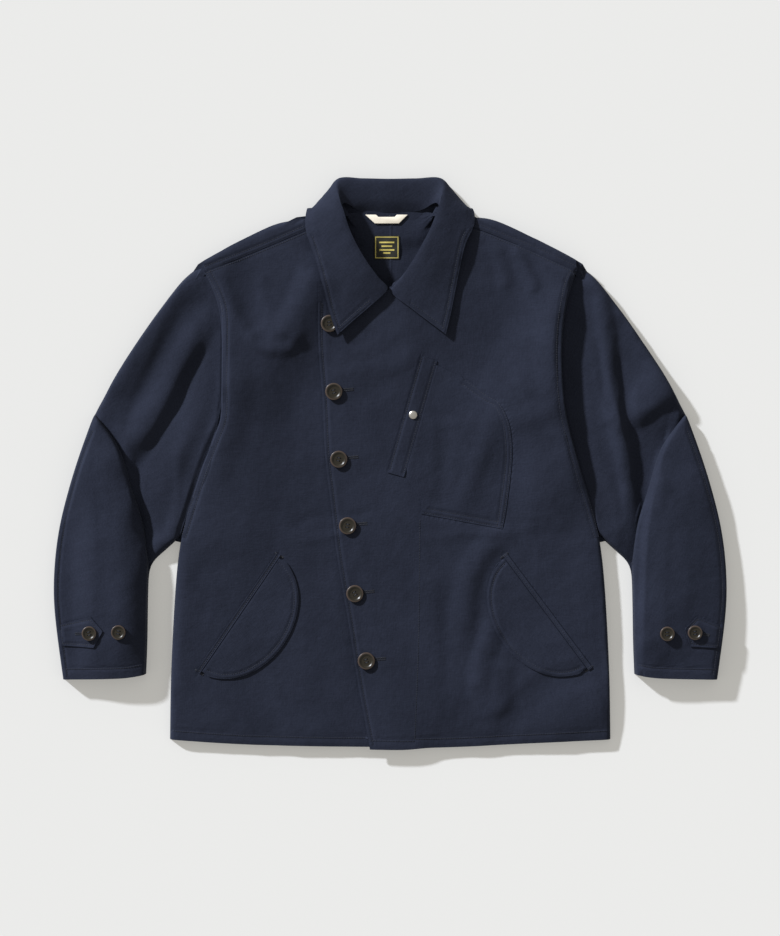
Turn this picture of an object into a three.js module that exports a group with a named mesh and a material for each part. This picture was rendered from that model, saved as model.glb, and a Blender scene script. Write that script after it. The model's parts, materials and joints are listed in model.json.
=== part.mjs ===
import * as THREE from "three";

// A short work jacket laid flat on its back, front side up. Millimetres.
// X runs across the jacket (the wearer's left is +X), Y up from the lowest point of the hem,
// Z up from the surface that it lies on.
// The finished group is moved so that its origin is the middle of its underside.

// Driving sizes
const WALL = 1.6;
const GAP = 0.3;
const REST = WALL + GAP;
const CENTRE_BACK_X = 2.8;
const WALL_CLEAR = 0.2;
const LAID_CLEAR = 0.4;
const COLLAR_ROOM = 2.1;
const PLACKET_LIFT = 2.4;
const FRONT_BUTTON = { radius: 11.4, thick: 3.4 };
const CUFF_BUTTON = { radius: 9.6, thick: 3 };
const SNAP_CAP = { radius: 5.6, thick: 2.4 };
const SHOULDER_LOFT = 9.5;
const HEM_Z = 5;
const FRONT_LOFT = 7;
const SLEEVE_LOFT = 6;
const SLEEVE_HEAD_CLEAR = 0.4;
const SLEEVE_TUCK = 2.4;
const SLEEVE_HEAD_RISE = 26;
const SLEEVE_ROLL = 7;
const ELBOW_ROLL = 6;
const ELBOW_EDGE_Z = 4.2;
const ELBOW_STEP = 7;
const ELBOW_REACH = { under: 30, over: 90 };
const ARMHOLE_Z = { right: 8.2, left: 7 };
const ARMHOLE_ROLL = 6;
const SIDE_ROLL = 7;
const SHOULDER_SEAM_GAP = 1;
const SHOULDER_TOP_INSET = 24;
const UNDERARM_SHARE = 0.4;
const ARMHOLE_TOP_SHARE = 0.88;
const ARMHOLE_STATIONS = [0, 0.12, 0.24, 0.36, 0.48, 0.62, 0.76, 0.88, 1];

// Outlines of the flat pieces: one row for each point, x from the centre line, corner where the line breaks.
const SIDE_SEAM = [
  { x: 297.5, y: 14 },
  { x: 297, y: 62 },
  { x: 296, y: 108.5 },
  { x: 292.8, y: 174 },
  { x: 289, y: 234 },
  { x: 283, y: 288 },
];
const RIGHT_ARMHOLE = [
  { x: 283, y: 288 },
  { x: 265, y: 346 },
  { x: 251.4, y: 387 },
  { x: 237.4, y: 422 },
  { x: 228, y: 450 },
  { x: 227, y: 498 },
  { x: 227, y: 581 },
  { x: 234, y: 612 },
  { x: 250, y: 643 },
];
const LEFT_ARMHOLE = [
  { x: 283, y: 288 },
  { x: 270.7, y: 331.8 },
  { x: 253.5, y: 387 },
  { x: 235.9, y: 456 },
  { x: 230.9, y: 519 },
  { x: 232.7, y: 574 },
  { x: 241.3, y: 622.6 },
  { x: 250, y: 643 },
];
const RIGHT_SHOULDER_SEAM = [
  { x: 64, y: 717 },
  { x: 112.8, y: 698.8 },
  { x: 180, y: 670.4 },
  { x: 250, y: 643 },
];
const LEFT_SHOULDER_SEAM = [
  { x: 64, y: 717 },
  { x: 125, y: 697.7 },
  { x: 184, y: 674 },
  { x: 250, y: 643 },
];
const SHOULDER_FOLD = [
  { x: 60, y: 738 },
  { x: 105, y: 722.5 },
  { x: 118, y: 720.5 },
  { x: 150, y: 711 },
  { x: 184, y: 695.5 },
  { x: 219, y: 678 },
  { x: 262, y: 654 },
];
const RIGHT_HEM = [
  { x: -297.5, y: 14 },
  { x: -242.7, y: 10 },
  { x: -193.4, y: 7.3 },
  { x: -144, y: 5.9 },
  { x: -78, y: 4.6 },
  { x: 8, y: 4.1 },
];
const LEFT_HEM = [
  { x: -27.3, y: 1 },
  { x: 33, y: 0, corner: true },
  { x: 34, y: 2.7, corner: true },
  { x: 90.7, y: 3.9 },
  { x: 156, y: 7.3 },
  { x: 222, y: 10.5 },
  { x: 297.5, y: 14 },
];
const BACK_HEM = [
  { x: 0, y: 4.4 },
  { x: 90, y: 4.9 },
  { x: 156, y: 7 },
  { x: 222, y: 10 },
  { x: 297.5, y: 14 },
];
const PLACKET = [
  { x: -27.3, y: 1 },
  { x: -30.4, y: 16.5 },
  { x: -45.3, y: 95.4 },
  { x: -56.8, y: 171 },
  { x: -71.5, y: 254.3 },
  { x: -80, y: 325 },
  { x: -88.6, y: 397.6 },
  { x: -92.1, y: 473.7 },
  { x: -97.9, y: 553.4 },
  { x: -96.2, y: 648 },
];
const UNDERLAP_EDGE = [
  { x: 8, y: 4.1 },
  { x: -10, y: 200 },
  { x: -20, y: 400 },
  { x: -16, y: 630 },
];
const RIGHT_NECKLINE = [
  { x: -64, y: 717 },
  { x: -60, y: 702 },
  { x: -47, y: 674.6 },
  { x: -29, y: 643.4 },
  { x: -16, y: 630 },
];
const LEFT_NECKLINE = [
  { x: -96.2, y: 648 },
  { x: -50, y: 636 },
  { x: -3, y: 619, corner: true },
  { x: 30, y: 653.9 },
  { x: 54, y: 697 },
  { x: 64, y: 717 },
];
const BACK_NECK = [
  { x: 0, y: 723.4 },
  { x: 40, y: 724.5 },
  { x: 56, y: 731 },
  { x: 62, y: 745 },
];
const UPPER_SLEEVE_OUTER = [
  { x: 250, y: 643 },
  { x: 262, y: 653 },
  { x: 286, y: 626 },
  { x: 322.5, y: 577.5 },
  { x: 353, y: 532.5 },
  { x: 370.5, y: 505 },
  { x: 390.5, y: 467 },
  { x: 398.5, y: 453 },
];
const FOREARM_OUTER = [
  { x: 398.5, y: 453 },
  { x: 404, y: 441 },
  { x: 421, y: 394 },
  { x: 434.5, y: 350 },
  { x: 444.5, y: 314 },
  { x: 452, y: 268 },
  { x: 455, y: 213 },
  { x: 451.5, y: 169 },
  { x: 446.5, y: 130 },
  { x: 441.7, y: 95.4 },
];
const FOREARM_INNER = [
  { x: 326, y: 250 },
  { x: 327.5, y: 204 },
  { x: 328.2, y: 145 },
  { x: 330, y: 101.9 },
];
const UPPER_SLEEVE_UNDER = [
  { x: 283, y: 288 },
  { x: 304, y: 269 },
  { x: 326, y: 250 },
];
const CUFF = [
  { x: 441.7, y: 95.4 },
  { x: 386.7, y: 96.5 },
  { x: 353, y: 98 },
  { x: 330, y: 101.9 },
];
const ELBOW = [
  { x: 398.5, y: 453 },
  { x: 380, y: 430 },
  { x: 362, y: 402 },
  { x: 348, y: 350 },
  { x: 334, y: 309 },
  { x: 326, y: 250 },
];

// Folds: soft ridges and troughs along a path, width to each side, height above or below the plain cloth.
const RIGHT_FRONT_FOLDS = [
  { path: [[-229, 440], [-228, 520], [-232, 620]], width: 60, height: 4 },
  { path: [[-106, 640], [-134, 602], [-163, 548]], width: 18, height: 2.6 },
  { path: [[-203, 650], [-186, 602], [-165, 548]], width: 20, height: 2.8 },
  { path: [[-128, 300], [-100, 318], [-84, 322]], width: 24, height: 2 },
  { path: [[-266, 330], [-262, 230], [-270, 120]], width: 34, height: 2.2 },
  { path: [[-180, 470], [-172, 380], [-176, 300]], width: 46, height: 1.8 },
  { path: [[-120, 190], [-96, 110], [-88, 20]], width: 40, height: 1.6 },
];
const LEFT_FRONT_FOLDS = [
  { path: [[240, 380], [232, 480], [234, 630]], width: 70, height: 8 },
  { path: [[181, 657], [195, 616], [208, 580]], width: 22, height: 2.4 },
  { path: [[201, 411], [201, 322]], width: 26, height: -3 },
  { path: [[143, 283], [104, 247], [84, 204]], width: 22, height: 2.4 },
  { path: [[130, 168], [104, 129], [91, 89]], width: 22, height: 2.2 },
  { path: [[291, 102], [216, 72], [170, 40]], width: 28, height: 2.2 },
  { path: [[60, 560], [20, 500], [-20, 480]], width: 40, height: 1.6 },
  { path: [[100, 460], [118, 400], [96, 340]], width: 34, height: 1.4 },
  { path: [[262, 320], [272, 240], [276, 150]], width: 32, height: 3 },
];
const RIGHT_SLEEVE_FOLDS = [
  { path: [[247, 560], [265, 508], [293, 464], [321, 422], [348, 387]], width: 22, height: -3.6 },
  { path: [[251, 574], [279, 546.5], [307, 501], [327, 456], [352, 411]], width: 22, height: 5 },
  { path: [[240, 500], [264, 440], [300, 380], [330, 330]], width: 26, height: 3.6 },
  { path: [[265, 630], [320, 556], [369, 484]], width: 30, height: 2 },
  { path: [[296, 300], [300, 350], [286, 400]], width: 24, height: 2.6 },
  { path: [[420, 380], [400, 300], [396, 200]], width: 34, height: 2.6 },
  { path: [[352, 330], [352, 240], [350, 130]], width: 26, height: 2.4 },
];
const LEFT_SLEEVE_FOLDS = [
  { path: [[300, 590], [307, 501], [319, 443], [336.5, 394], [346, 349]], width: 20, height: -3.4 },
  { path: [[270, 632], [318, 560], [350, 500], [378, 456]], width: 26, height: 5 },
  { path: [[276, 560], [284, 500], [300, 440], [318, 380]], width: 18, height: 3 },
  { path: [[262, 500], [274, 420], [300, 340]], width: 20, height: 2.6 },
  { path: [[388, 450], [360, 420], [330, 430]], width: 24, height: -1.8 },
  { path: [[420, 380], [404, 300], [398, 200]], width: 34, height: 2.6 },
  { path: [[352, 330], [352, 240], [350, 130]], width: 26, height: 2.4 },
];

// Collar sections: where each line of the collar lies, from the front corner back over the shoulder.
const RIGHT_COLLAR = [
  {
    neck: [-12, 630, 12.6], roll: [-2, 622, 18.5], fall: [-24, 600, 19.5],
    turn: [-47, 580, 19.5], edge: [-70.8, 558.8, 19.5],
  },
  {
    neck: [-32, 647, 12.6], roll: [-22.3, 643.4, 22], fall: [-41, 625, 23],
    turn: [-61, 605, 21], edge: [-80.4, 584, 19.5],
  },
  {
    neck: [-49, 678, 12.6], roll: [-42.5, 674.6, 24], fall: [-58, 663, 24.5],
    turn: [-75, 647, 21], edge: [-92, 630, 18.5],
  },
  {
    neck: [-61, 703, 13], roll: [-56, 703, 25], fall: [-71, 695, 24.5],
    turn: [-88, 684, 20.5], edge: [-104, 672, 18],
  },
  {
    neck: [-67, 719, 13.6], roll: [-63, 727, 25], fall: [-80, 718, 23],
    turn: [-98, 709, 19], edge: [-114.5, 700, 15],
  },
];
const LEFT_COLLAR = [
  {
    neck: [4, 629, 12.6], roll: [0.5, 617, 18], fall: [25, 597, 19.5],
    turn: [50, 578, 19.5], edge: [74.7, 559.7, 19.5],
  },
  {
    neck: [34, 652, 12.6], roll: [27, 653, 22], fall: [45, 633, 23],
    turn: [63, 613, 21], edge: [82.4, 592, 19.5],
  },
  {
    neck: [52, 684, 12.6], roll: [45, 684, 24], fall: [60, 670, 24.5],
    turn: [77, 656, 21], edge: [92, 642, 18.5],
  },
  {
    neck: [63, 706, 13], roll: [57, 708, 25], fall: [72, 699, 24.5],
    turn: [88, 690, 20.5], edge: [101.5, 684, 18],
  },
  {
    neck: [67, 719, 13.6], roll: [63, 727, 25], fall: [80, 719, 23],
    turn: [97, 712, 19], edge: [113.5, 706, 15],
  },
];
const BACK_COLLAR = [
  {
    neck: [67, 725, 14], roll: [66, 734, 24], fall: [85, 731, 20],
    turn: [101, 730, 14], edge: [112, 730, 5],
  },
  {
    neck: [66, 731, 14], roll: [68, 742, 22.5], fall: [88, 743, 13],
    turn: [99, 739, 3], edge: [105, 722, 0],
  },
  {
    neck: [63, 736, 14], roll: [70, 752, 19], fall: [84, 754, 8],
    turn: [88, 749, 0.6], edge: [91, 712, 0],
  },
  {
    neck: [57, 736, 9.5], roll: [67, 764, 12], fall: [71, 768, 4],
    turn: [72, 763, 0], edge: [71, 707, 0],
  },
  {
    neck: [42, 726.6, 4.2], roll: [45, 766, 8.6], fall: [45, 771, 4.3],
    turn: [45, 766, 0], edge: [46, 707, 0],
  },
  {
    neck: [0, 724.6, 4.2], roll: [0, 765, 8.4], fall: [0, 770, 4.2],
    turn: [0, 765, 0], edge: [0, 707, 0],
  },
];

const PATCH_LEFT = [
  { x: 62, y: 519 },
  { x: 18.5, y: 366, corner: true },
  { x: 29.4, y: 356.4 },
  { x: 38.8, y: 342.6 },
  { x: 43.3, y: 330.6 },
  { x: 41.5, y: 318.5 },
];
const PATCH_RIGHT = [
  { x: 101.9, y: 499.4 },
  { x: 127.6, y: 480.3 },
  { x: 144.9, y: 470.1 },
  { x: 155.2, y: 452.8 },
  { x: 161.3, y: 432.1 },
  { x: 163.8, y: 401.2 },
  { x: 162.1, y: 371.9 },
  { x: 155.2, y: 320.2 },
  { x: 150.9, y: 298.2 },
];
const BAND = { from: [52, 527.4], to: [7.3, 371], width: 23 };
const SNAP_AT = { x: 30.7, y: 451.4 };

const FRONT_BUTTONS = [
  { x: -81.7, y: 574.2 },
  { x: -75.8, y: 482.8 },
  { x: -69.2, y: 391.8 },
  { x: -57.3, y: 302.4 },
  { x: -47.6, y: 211.1 },
  { x: -32.2, y: 120.7 },
];
const POCKETS = {
  right: { top: [-148.8, 259.7], bottom: [-254.1, 105.3], turn: 1 },
  left: { top: [153.2, 259.1], bottom: [264.9, 109.9], turn: -1 },
};
const FLAP_DEPTH = 71;
const WELT_WIDTH = 6.5;
const WELT_PAST = 3;
const CUFF_TABS = {
  right: {
    base: [-441.3, 155.7], point: [-385.1, 161.2],
    tabButton: [-403.1, 158.5], farButton: [-363.5, 160.1],
  },
  left: {
    base: [443, 152.5], point: [394.5, 163.9],
    tabButton: [408.3, 159.3], farButton: [370.9, 158],
  },
};
const TAB_WIDTH = { base: 14.5, shoulder: 21, point: 0.6, shoulderAt: 0.74 };
const FLAP_LIFT = 2.2;
const WELT_ROLL = 0.9;
const FLAP_SWEEP = 0.985;
const LOOP = { top: 721.5, bottom: 709.6, topHalf: 28.7, bottomHalf: 16.2, middle: -5, thick: 1.2 };
const LABEL = { left: -21.4, right: 12.2, bottom: 662.2, top: 693.4, thick: 0.8 };

// Curves and heights

const clamp01 = (t) => Math.min(1, Math.max(0, t));
const smooth = (a, b, x) => {
  const t = clamp01((x - a) / (b - a));
  return t * t * (3 - 2 * t);
};

// A smooth line through the rows, broken at corners, as closely spaced plan points.
function drawn(rows, side = 1) {
  const points = [];
  let run = [];
  rows.forEach((row, i) => {
    run.push(new THREE.Vector2(row.x * side, row.y));
    const ends = row.corner || i === rows.length - 1;
    if (!ends || run.length < 2) return;
    const curve = run.length === 2 ? new THREE.LineCurve(run[0], run[1]) : new THREE.SplineCurve(run);
    const steps = 10 * (run.length - 1);
    for (let k = points.length ? 1 : 0; k <= steps; k++) points.push(curve.getPoint(k / steps));
    run = [run[run.length - 1]];
  });
  return points;
}

// A point along a drawn line at a share of its run, measured along one axis or along its length.
function along(points, measure = "length") {
  const marks = [0];
  for (let i = 1; i < points.length; i++) {
    const [a, b] = [points[i - 1], points[i]];
    const step = measure === "length" ? b.distanceTo(a) : Math.abs(b[measure] - a[measure]);
    marks.push(marks[i - 1] + Math.max(step, 1e-6));
  }
  const whole = marks[marks.length - 1];
  return (share) => {
    const wanted = clamp01(share) * whole;
    let i = 1;
    while (i < marks.length - 1 && marks[i] < wanted) i++;
    const t = (wanted - marks[i - 1]) / (marks[i] - marks[i - 1]);
    return points[i - 1].clone().lerp(points[i], clamp01(t));
  };
}

// Two lines run one after the other, the first up to a share of the whole.
const joined = (first, second, share) => (t) =>
  t < share ? first(t / share) : second((t - share) / (1 - share));

// The y of a line at x.
function heightAt(points, x) {
  let i = 1;
  while (i < points.length - 1 && points[i].x < x) i++;
  const t = clamp01((x - points[i - 1].x) / (points[i].x - points[i - 1].x));
  return THREE.MathUtils.lerp(points[i - 1].y, points[i].y, t);
}

function distanceTo(points, x, y) {
  let best = Infinity;
  for (let i = 1; i < points.length; i++) {
    const [a, b] = [points[i - 1], points[i]];
    const [dx, dy] = [b.x - a.x, b.y - a.y];
    const t = clamp01(((x - a.x) * dx + (y - a.y) * dy) / (dx * dx + dy * dy));
    best = Math.min(best, Math.hypot(x - a.x - t * dx, y - a.y - t * dy));
  }
  return best;
}

// Four boundary curves filled in between: left and right run up with v, bottom and top run across with u.
function filled({ left, right, bottom, top }) {
  const [c00, c10, c01, c11] = [bottom(0), bottom(1), top(0), top(1)];
  return (u, v) => {
    const [l, r, b, t] = [left(v), right(v), bottom(u), top(u)];
    const blend = (axis) =>
      (1 - u) * l[axis] + u * r[axis] + (1 - v) * b[axis] + v * t[axis] -
      ((1 - u) * (1 - v) * c00[axis] + u * (1 - v) * c10[axis] + (1 - u) * v * c01[axis] + u * v * c11[axis]);
    return { x: blend("x"), y: blend("y") };
  };
}

function foldHeight(folds, x, y) {
  return folds.reduce((sum, fold) => {
    const points = fold.path.map(([px, py]) => new THREE.Vector2(px, py));
    const far = distanceTo(points, x, y) / fold.width;
    return far < 1 ? sum + fold.height * (1 - far * far) ** 2 : sum;
  }, 0);
}

// The cloth turns down to a seam or folded edge through a quarter of an ellipse.
function turnedDown(z, edge, far, reach) {
  const t = clamp01(far / reach);
  return edge + (z - edge) * Math.sqrt(1 - (1 - t) ** 2);
}

// Shares along a width, close together where the cloth turns down at an end.
function spread(width, count, rollStart, rollEnd) {
  const near = [0, 0.1, 0.36, 1];
  const start = rollStart ? near.map((t) => (t * rollStart) / width) : [0];
  const end = rollEnd ? near.map((t) => 1 - (t * rollEnd) / width).reverse() : [1];
  const [from, to] = [start[start.length - 1], end[0]];
  const middle = Array.from({ length: count - 1 }, (_, i) => THREE.MathUtils.lerp(from, to, (i + 1) / count));
  return [...start, ...middle, ...end];
}

// A wall of cloth: the points of its outer face on a grid, and the same points moved in by its thickness.
function clothWall(columns, rows, outerPoint, { face = 1, floor = () => 0 } = {}) {
  const outer = rows.map((v) => columns.map((u) => outerPoint(u, v)));
  const last = { i: columns.length - 1, j: rows.length - 1 };
  const inner = outer.map((row, j) =>
    row.map((point, i) => {
      const across = row[Math.min(i + 1, last.i)].clone().sub(row[Math.max(i - 1, 0)]);
      const up = outer[Math.min(j + 1, last.j)][i].clone().sub(outer[Math.max(j - 1, 0)][i]);
      const moved = point.clone().addScaledVector(across.cross(up).normalize(), -WALL * face);
      moved.z = Math.max(moved.z, floor(point));
      return moved;
    }),
  );
  const width = columns.length;
  const layer = width * rows.length;
  const at = (i, j) => j * width + i;
  const triangles = [];
  for (let j = 0; j < last.j; j++)
    for (let i = 0; i < last.i; i++) {
      const [a, b, c, d] = [at(i, j), at(i + 1, j), at(i + 1, j + 1), at(i, j + 1)];
      triangles.push([a, b, c], [a, c, d]);
      triangles.push([a + layer, c + layer, b + layer], [a + layer, d + layer, c + layer]);
    }
  const rim = [];
  for (let i = 0; i < last.i; i++) rim.push(at(i, 0));
  for (let j = 0; j < last.j; j++) rim.push(at(last.i, j));
  for (let i = last.i; i > 0; i--) rim.push(at(i, last.j));
  for (let j = last.j; j > 0; j--) rim.push(at(0, j));
  rim.forEach((p, k) => {
    const q = rim[(k + 1) % rim.length];
    triangles.push([q, p, p + layer], [q, p + layer, q + layer]);
  });
  const geometry = new THREE.BufferGeometry();
  const places = [...outer.flat(), ...inner.flat()].flatMap((p) => [p.x, p.y, p.z]);
  geometry.setAttribute("position", new THREE.Float32BufferAttribute(places, 3));
  geometry.setIndex(triangles.flatMap(([a, b, c]) => (face > 0 ? [a, b, c] : [a, c, b])));
  geometry.computeVertexNormals();
  return geometry;
}

// The highest point of a surface near a place, so that a piece laid there stays clear of it.
function restingHeight(surface, x, y, reach = 5) {
  let z = -Infinity;
  for (const dx of [-reach, 0, reach])
    for (const dy of [-reach, 0, reach]) z = Math.max(z, surface(x + dx, y + dy));
  return z;
}

// Materials

const NAVY = new THREE.MeshStandardMaterial({ color: 0x2a2e3e, roughness: 0.9, metalness: 0 });
const HORN = new THREE.MeshStandardMaterial({ color: 0x2b211c, roughness: 0.35, metalness: 0 });
const CREAM = new THREE.MeshStandardMaterial({ color: 0xe2dac8, roughness: 0.9, metalness: 0 });
const BLACK = new THREE.MeshStandardMaterial({ color: 0x15150f, roughness: 0.8, metalness: 0 });
const STEEL = new THREE.MeshStandardMaterial({ color: 0xd0d0d0, roughness: 0.3, metalness: 1 });

const jacket = new THREE.Group();
function add(name, geometry, material = NAVY) {
  const mesh = new THREE.Mesh(geometry, material);
  mesh.name = name;
  jacket.add(mesh);
  return mesh;
}

const v3 = (x, y, z) => new THREE.Vector3(x, y, z);

// Seams shared by neighbouring pieces
const sideSeam = drawn(SIDE_SEAM);
const armholes = { right: drawn(RIGHT_ARMHOLE), left: drawn(LEFT_ARMHOLE) };
const shoulderSeams = { right: drawn(RIGHT_SHOULDER_SEAM), left: drawn(LEFT_SHOULDER_SEAM) };
const shoulderFold = drawn(SHOULDER_FOLD);
const mirrored = (points) => points.map((p) => new THREE.Vector2(-p.x, p.y));
const sign = { right: -1, left: 1 };

// Fronts

// The outer face of a front, before the other front laps over it. Both fronts share it near the middle.
function frontHeight(x, y) {
  const folds = foldHeight(RIGHT_FRONT_FOLDS, x, y) + foldHeight(LEFT_FRONT_FOLDS, x, y);
  const shoulder = SHOULDER_LOFT - FRONT_LOFT;
  const plain = FRONT_LOFT + shoulder * smooth(560, 680, y) + folds;
  const atHem = THREE.MathUtils.lerp(HEM_Z, plain, smooth(4, 60, y));
  return Math.max(atHem, REST + WALL + WALL_CLEAR);
}

function frontSurface(side) {
  return (x, y) => {
    const across = x * sign[side];
    const atSide = distanceTo(sideSeam, across, y);
    const atArmhole = distanceTo(armholes[side], across, y);
    const z = turnedDown(frontHeight(x, y), REST, atSide, SIDE_ROLL);
    const lapped = side === "left" ? PLACKET_LIFT * (1 - smooth(24, 56, x)) : 0;
    const settled = y > 280 ? turnedDown(z, ARMHOLE_Z[side], atArmhole, ARMHOLE_ROLL) : z;
    return settled + lapped;
  };
}

const surfaces = { right: frontSurface("right"), left: frontSurface("left") };

// The lowest that the inner face of a front may reach: its edges stand on the back and over the sleeve.
const frontFloor = (side) => (p) => {
  const overSleeve = p.y > 288 && distanceTo(armholes[side], p.x * sign[side], p.y) < ARMHOLE_ROLL;
  return overSleeve ? ARMHOLE_Z[side] : REST;
};

function frontEdge(side) {
  const lower = along(sideSeam, "y");
  const upper = along(armholes[side], "y");
  const whole = joined(lower, upper, 0.43);
  return (t) => {
    const p = whole(t);
    return new THREE.Vector2(p.x * sign[side], p.y);
  };
}

function frontRight() {
  const shoulder = along(mirrored(shoulderSeams.right).reverse(), "x");
  const top = joined(shoulder, along(drawn(RIGHT_NECKLINE), "length"), 0.7);
  const plan = filled({
    left: frontEdge("right"),
    right: along(drawn(UNDERLAP_EDGE), "y"),
    bottom: along(drawn(RIGHT_HEM), "x"),
    top,
  });
  const columns = spread(290, 11, SIDE_ROLL, 0);
  const rows = spread(640, 17, 0, 0);
  add("front_right_underlap", clothWall(columns, rows, (u, v) => {
    const { x, y } = plan(u, v);
    return v3(x, y, surfaces.right(x, y));
  }, { floor: frontFloor("right") }));
}

function frontLeft() {
  const top = joined(along(drawn(LEFT_NECKLINE), "length"), along(shoulderSeams.left, "x"), 0.5);
  const plan = filled({
    left: along(drawn(PLACKET), "y"),
    right: frontEdge("left"),
    bottom: along(drawn(LEFT_HEM), "x"),
    top,
  });
  const columns = spread(340, 13, 0, SIDE_ROLL);
  const rows = spread(640, 17, 0, 0);
  add("front_left_overlap", clothWall(columns, rows, (u, v) => {
    const { x, y } = plan(u, v);
    return v3(x, y, surfaces.left(x, y));
  }, { floor: frontFloor("left") }));
}

// Back

// The back rises near the neck, over the part of the collar leaf that lies beneath it.
const overCollarLeaf = (y) => smooth(670, 690, y);

// A point of the back's outer face: flat on the surface, then round the shoulder fold and on
// to the forward seam.
function backPoint(side, x, run) {
  const across = x * sign[side];
  const clear = COLLAR_ROOM * overCollarLeaf(run) * smooth(150, 118, across);
  const fold = heightAt(shoulderFold, across);
  const top = surfaces[side](x, fold - SHOULDER_TOP_INSET);
  const radius = (top - clear) / 2;
  const start = fold - radius;
  const turned = run - start;
  if (turned <= 0 || across < 56) return v3(x, run, clear);
  if (turned < Math.PI * radius) {
    const angle = turned / radius;
    return v3(x, start + radius * Math.sin(angle), clear + radius * (1 - Math.cos(angle)));
  }
  return v3(x, start - (turned - Math.PI * radius), top);
}

function back(side) {
  const foldRun = (across) => {
    const fold = heightAt(shoulderFold, across);
    const radius = surfaces[side](across * sign[side], fold - SHOULDER_TOP_INSET) / 2;
    const seam = heightAt(shoulderSeams[side], across);
    const open = SHOULDER_SEAM_GAP * (1 + 3 * smooth(140, 110, across));
    return 2 * (fold - radius) + Math.PI * radius - seam - open;
  };
  const shoulderRun = Array.from({ length: 20 }, (_, k) => {
    const across = THREE.MathUtils.lerp(64, 250, k / 19);
    return new THREE.Vector2(across, foldRun(across));
  });
  const seamX = CENTRE_BACK_X * sign[side] + GAP / 2;
  const neck = drawn(BACK_NECK.map((row) => (row.x ? row : { ...row, x: seamX })));
  const hem = drawn(BACK_HEM.map((row) => (row.x ? row : { ...row, x: seamX })));
  const centre = [hem[0], neck[0]];
  const armhole = armholes[side];
  const overShoulder = along([armhole[armhole.length - 1], shoulderRun[19]]);
  const belowArmhole = UNDERARM_SHARE / ARMHOLE_TOP_SHARE;
  const sideAndArmhole = joined(along(sideSeam, "y"), along(armhole, "y"), belowArmhole);
  const plan = filled({
    left: along(centre, "y"),
    right: joined(sideAndArmhole, overShoulder, ARMHOLE_TOP_SHARE),
    bottom: along(hem, "x"),
    top: joined(along(neck, "length"), along(shoulderRun, "x"), 0.25),
  });
  const columns = spread(290, 12, 0, 0);
  const armholeRows = ARMHOLE_STATIONS.map((t) => THREE.MathUtils.lerp(UNDERARM_SHARE, ARMHOLE_TOP_SHARE, t));
  const rows = [0, 0.14, 0.27, ...armholeRows, 0.9, 0.915, 0.93, 0.945, 0.96, 0.975, 0.987, 1];
  add("back_" + side + "_panel", clothWall(columns, rows, (u, v) => {
    const { x, y } = plan(u, v);
    return backPoint(side, x * sign[side], y);
  }, { face: -sign[side] }));
}

// Sleeves

const SLEEVE_FOLDS = { right: RIGHT_SLEEVE_FOLDS, left: LEFT_SLEEVE_FOLDS };
const elbow = drawn(ELBOW);
const cuff = drawn(CUFF);
const forearmOuter = drawn(FOREARM_OUTER);
const forearmInner = drawn(FOREARM_INNER);
const upperUnder = drawn(UPPER_SLEEVE_UNDER);
const upperOuter = drawn(UPPER_SLEEVE_OUTER);

// The top sleeve's outer face: the forearm lies folded over the upper arm at the elbow.
function sleeveSurface(side, part) {
  return (across, y) => {
    const folds = foldHeight(SLEEVE_FOLDS[side], across, y);
    const atArmhole = distanceTo(armholes[side], across, y);
    const atElbow = distanceTo(elbow, across, y);
    let z = SLEEVE_LOFT + folds;
    if (part === "upper") {
      const head = ARMHOLE_Z[side] - GAP - SLEEVE_HEAD_CLEAR;
      z = THREE.MathUtils.lerp(head, z, smooth(SLEEVE_TUCK + 1, SLEEVE_HEAD_RISE, atArmhole));
      z = THREE.MathUtils.lerp(ELBOW_EDGE_Z, z, smooth(0, ELBOW_REACH.under, atElbow));
    } else {
      const over = ELBOW_STEP * Math.exp(-atElbow / ELBOW_REACH.over);
      z = turnedDown(z + over, ELBOW_EDGE_Z, atElbow, ELBOW_ROLL);
    }
    z = Math.max(z, REST + WALL + WALL_CLEAR);
    const outerEdge = part === "upper" ? upperOuter : forearmOuter;
    const innerEdge = part === "upper" ? upperUnder : forearmInner;
    z = turnedDown(z, REST, distanceTo(outerEdge, across, y), SLEEVE_ROLL);
    return turnedDown(z, REST, distanceTo(innerEdge, across, y), SLEEVE_ROLL);
  };
}

function sleevePlans(side, tuck) {
  const seam = along([...armholes[side]].reverse(), "y");
  const upper = filled({
    left: along(upperOuter),
    right: along(upperUnder),
    bottom: (t) => {
      const p = seam(t);
      const share = tuck > 0 ? smooth(0, 0.05, t) * smooth(0.94, 0.8, t) : 1;
      return new THREE.Vector2(p.x + 2 * GAP - (tuck + 2 * GAP) * share, p.y);
    },
    top: along(elbow),
  });
  const forearm = filled({
    left: along(forearmOuter),
    right: along(forearmInner),
    bottom: along(elbow),
    top: along(cuff),
  });
  return { upper, forearm };
}

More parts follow.
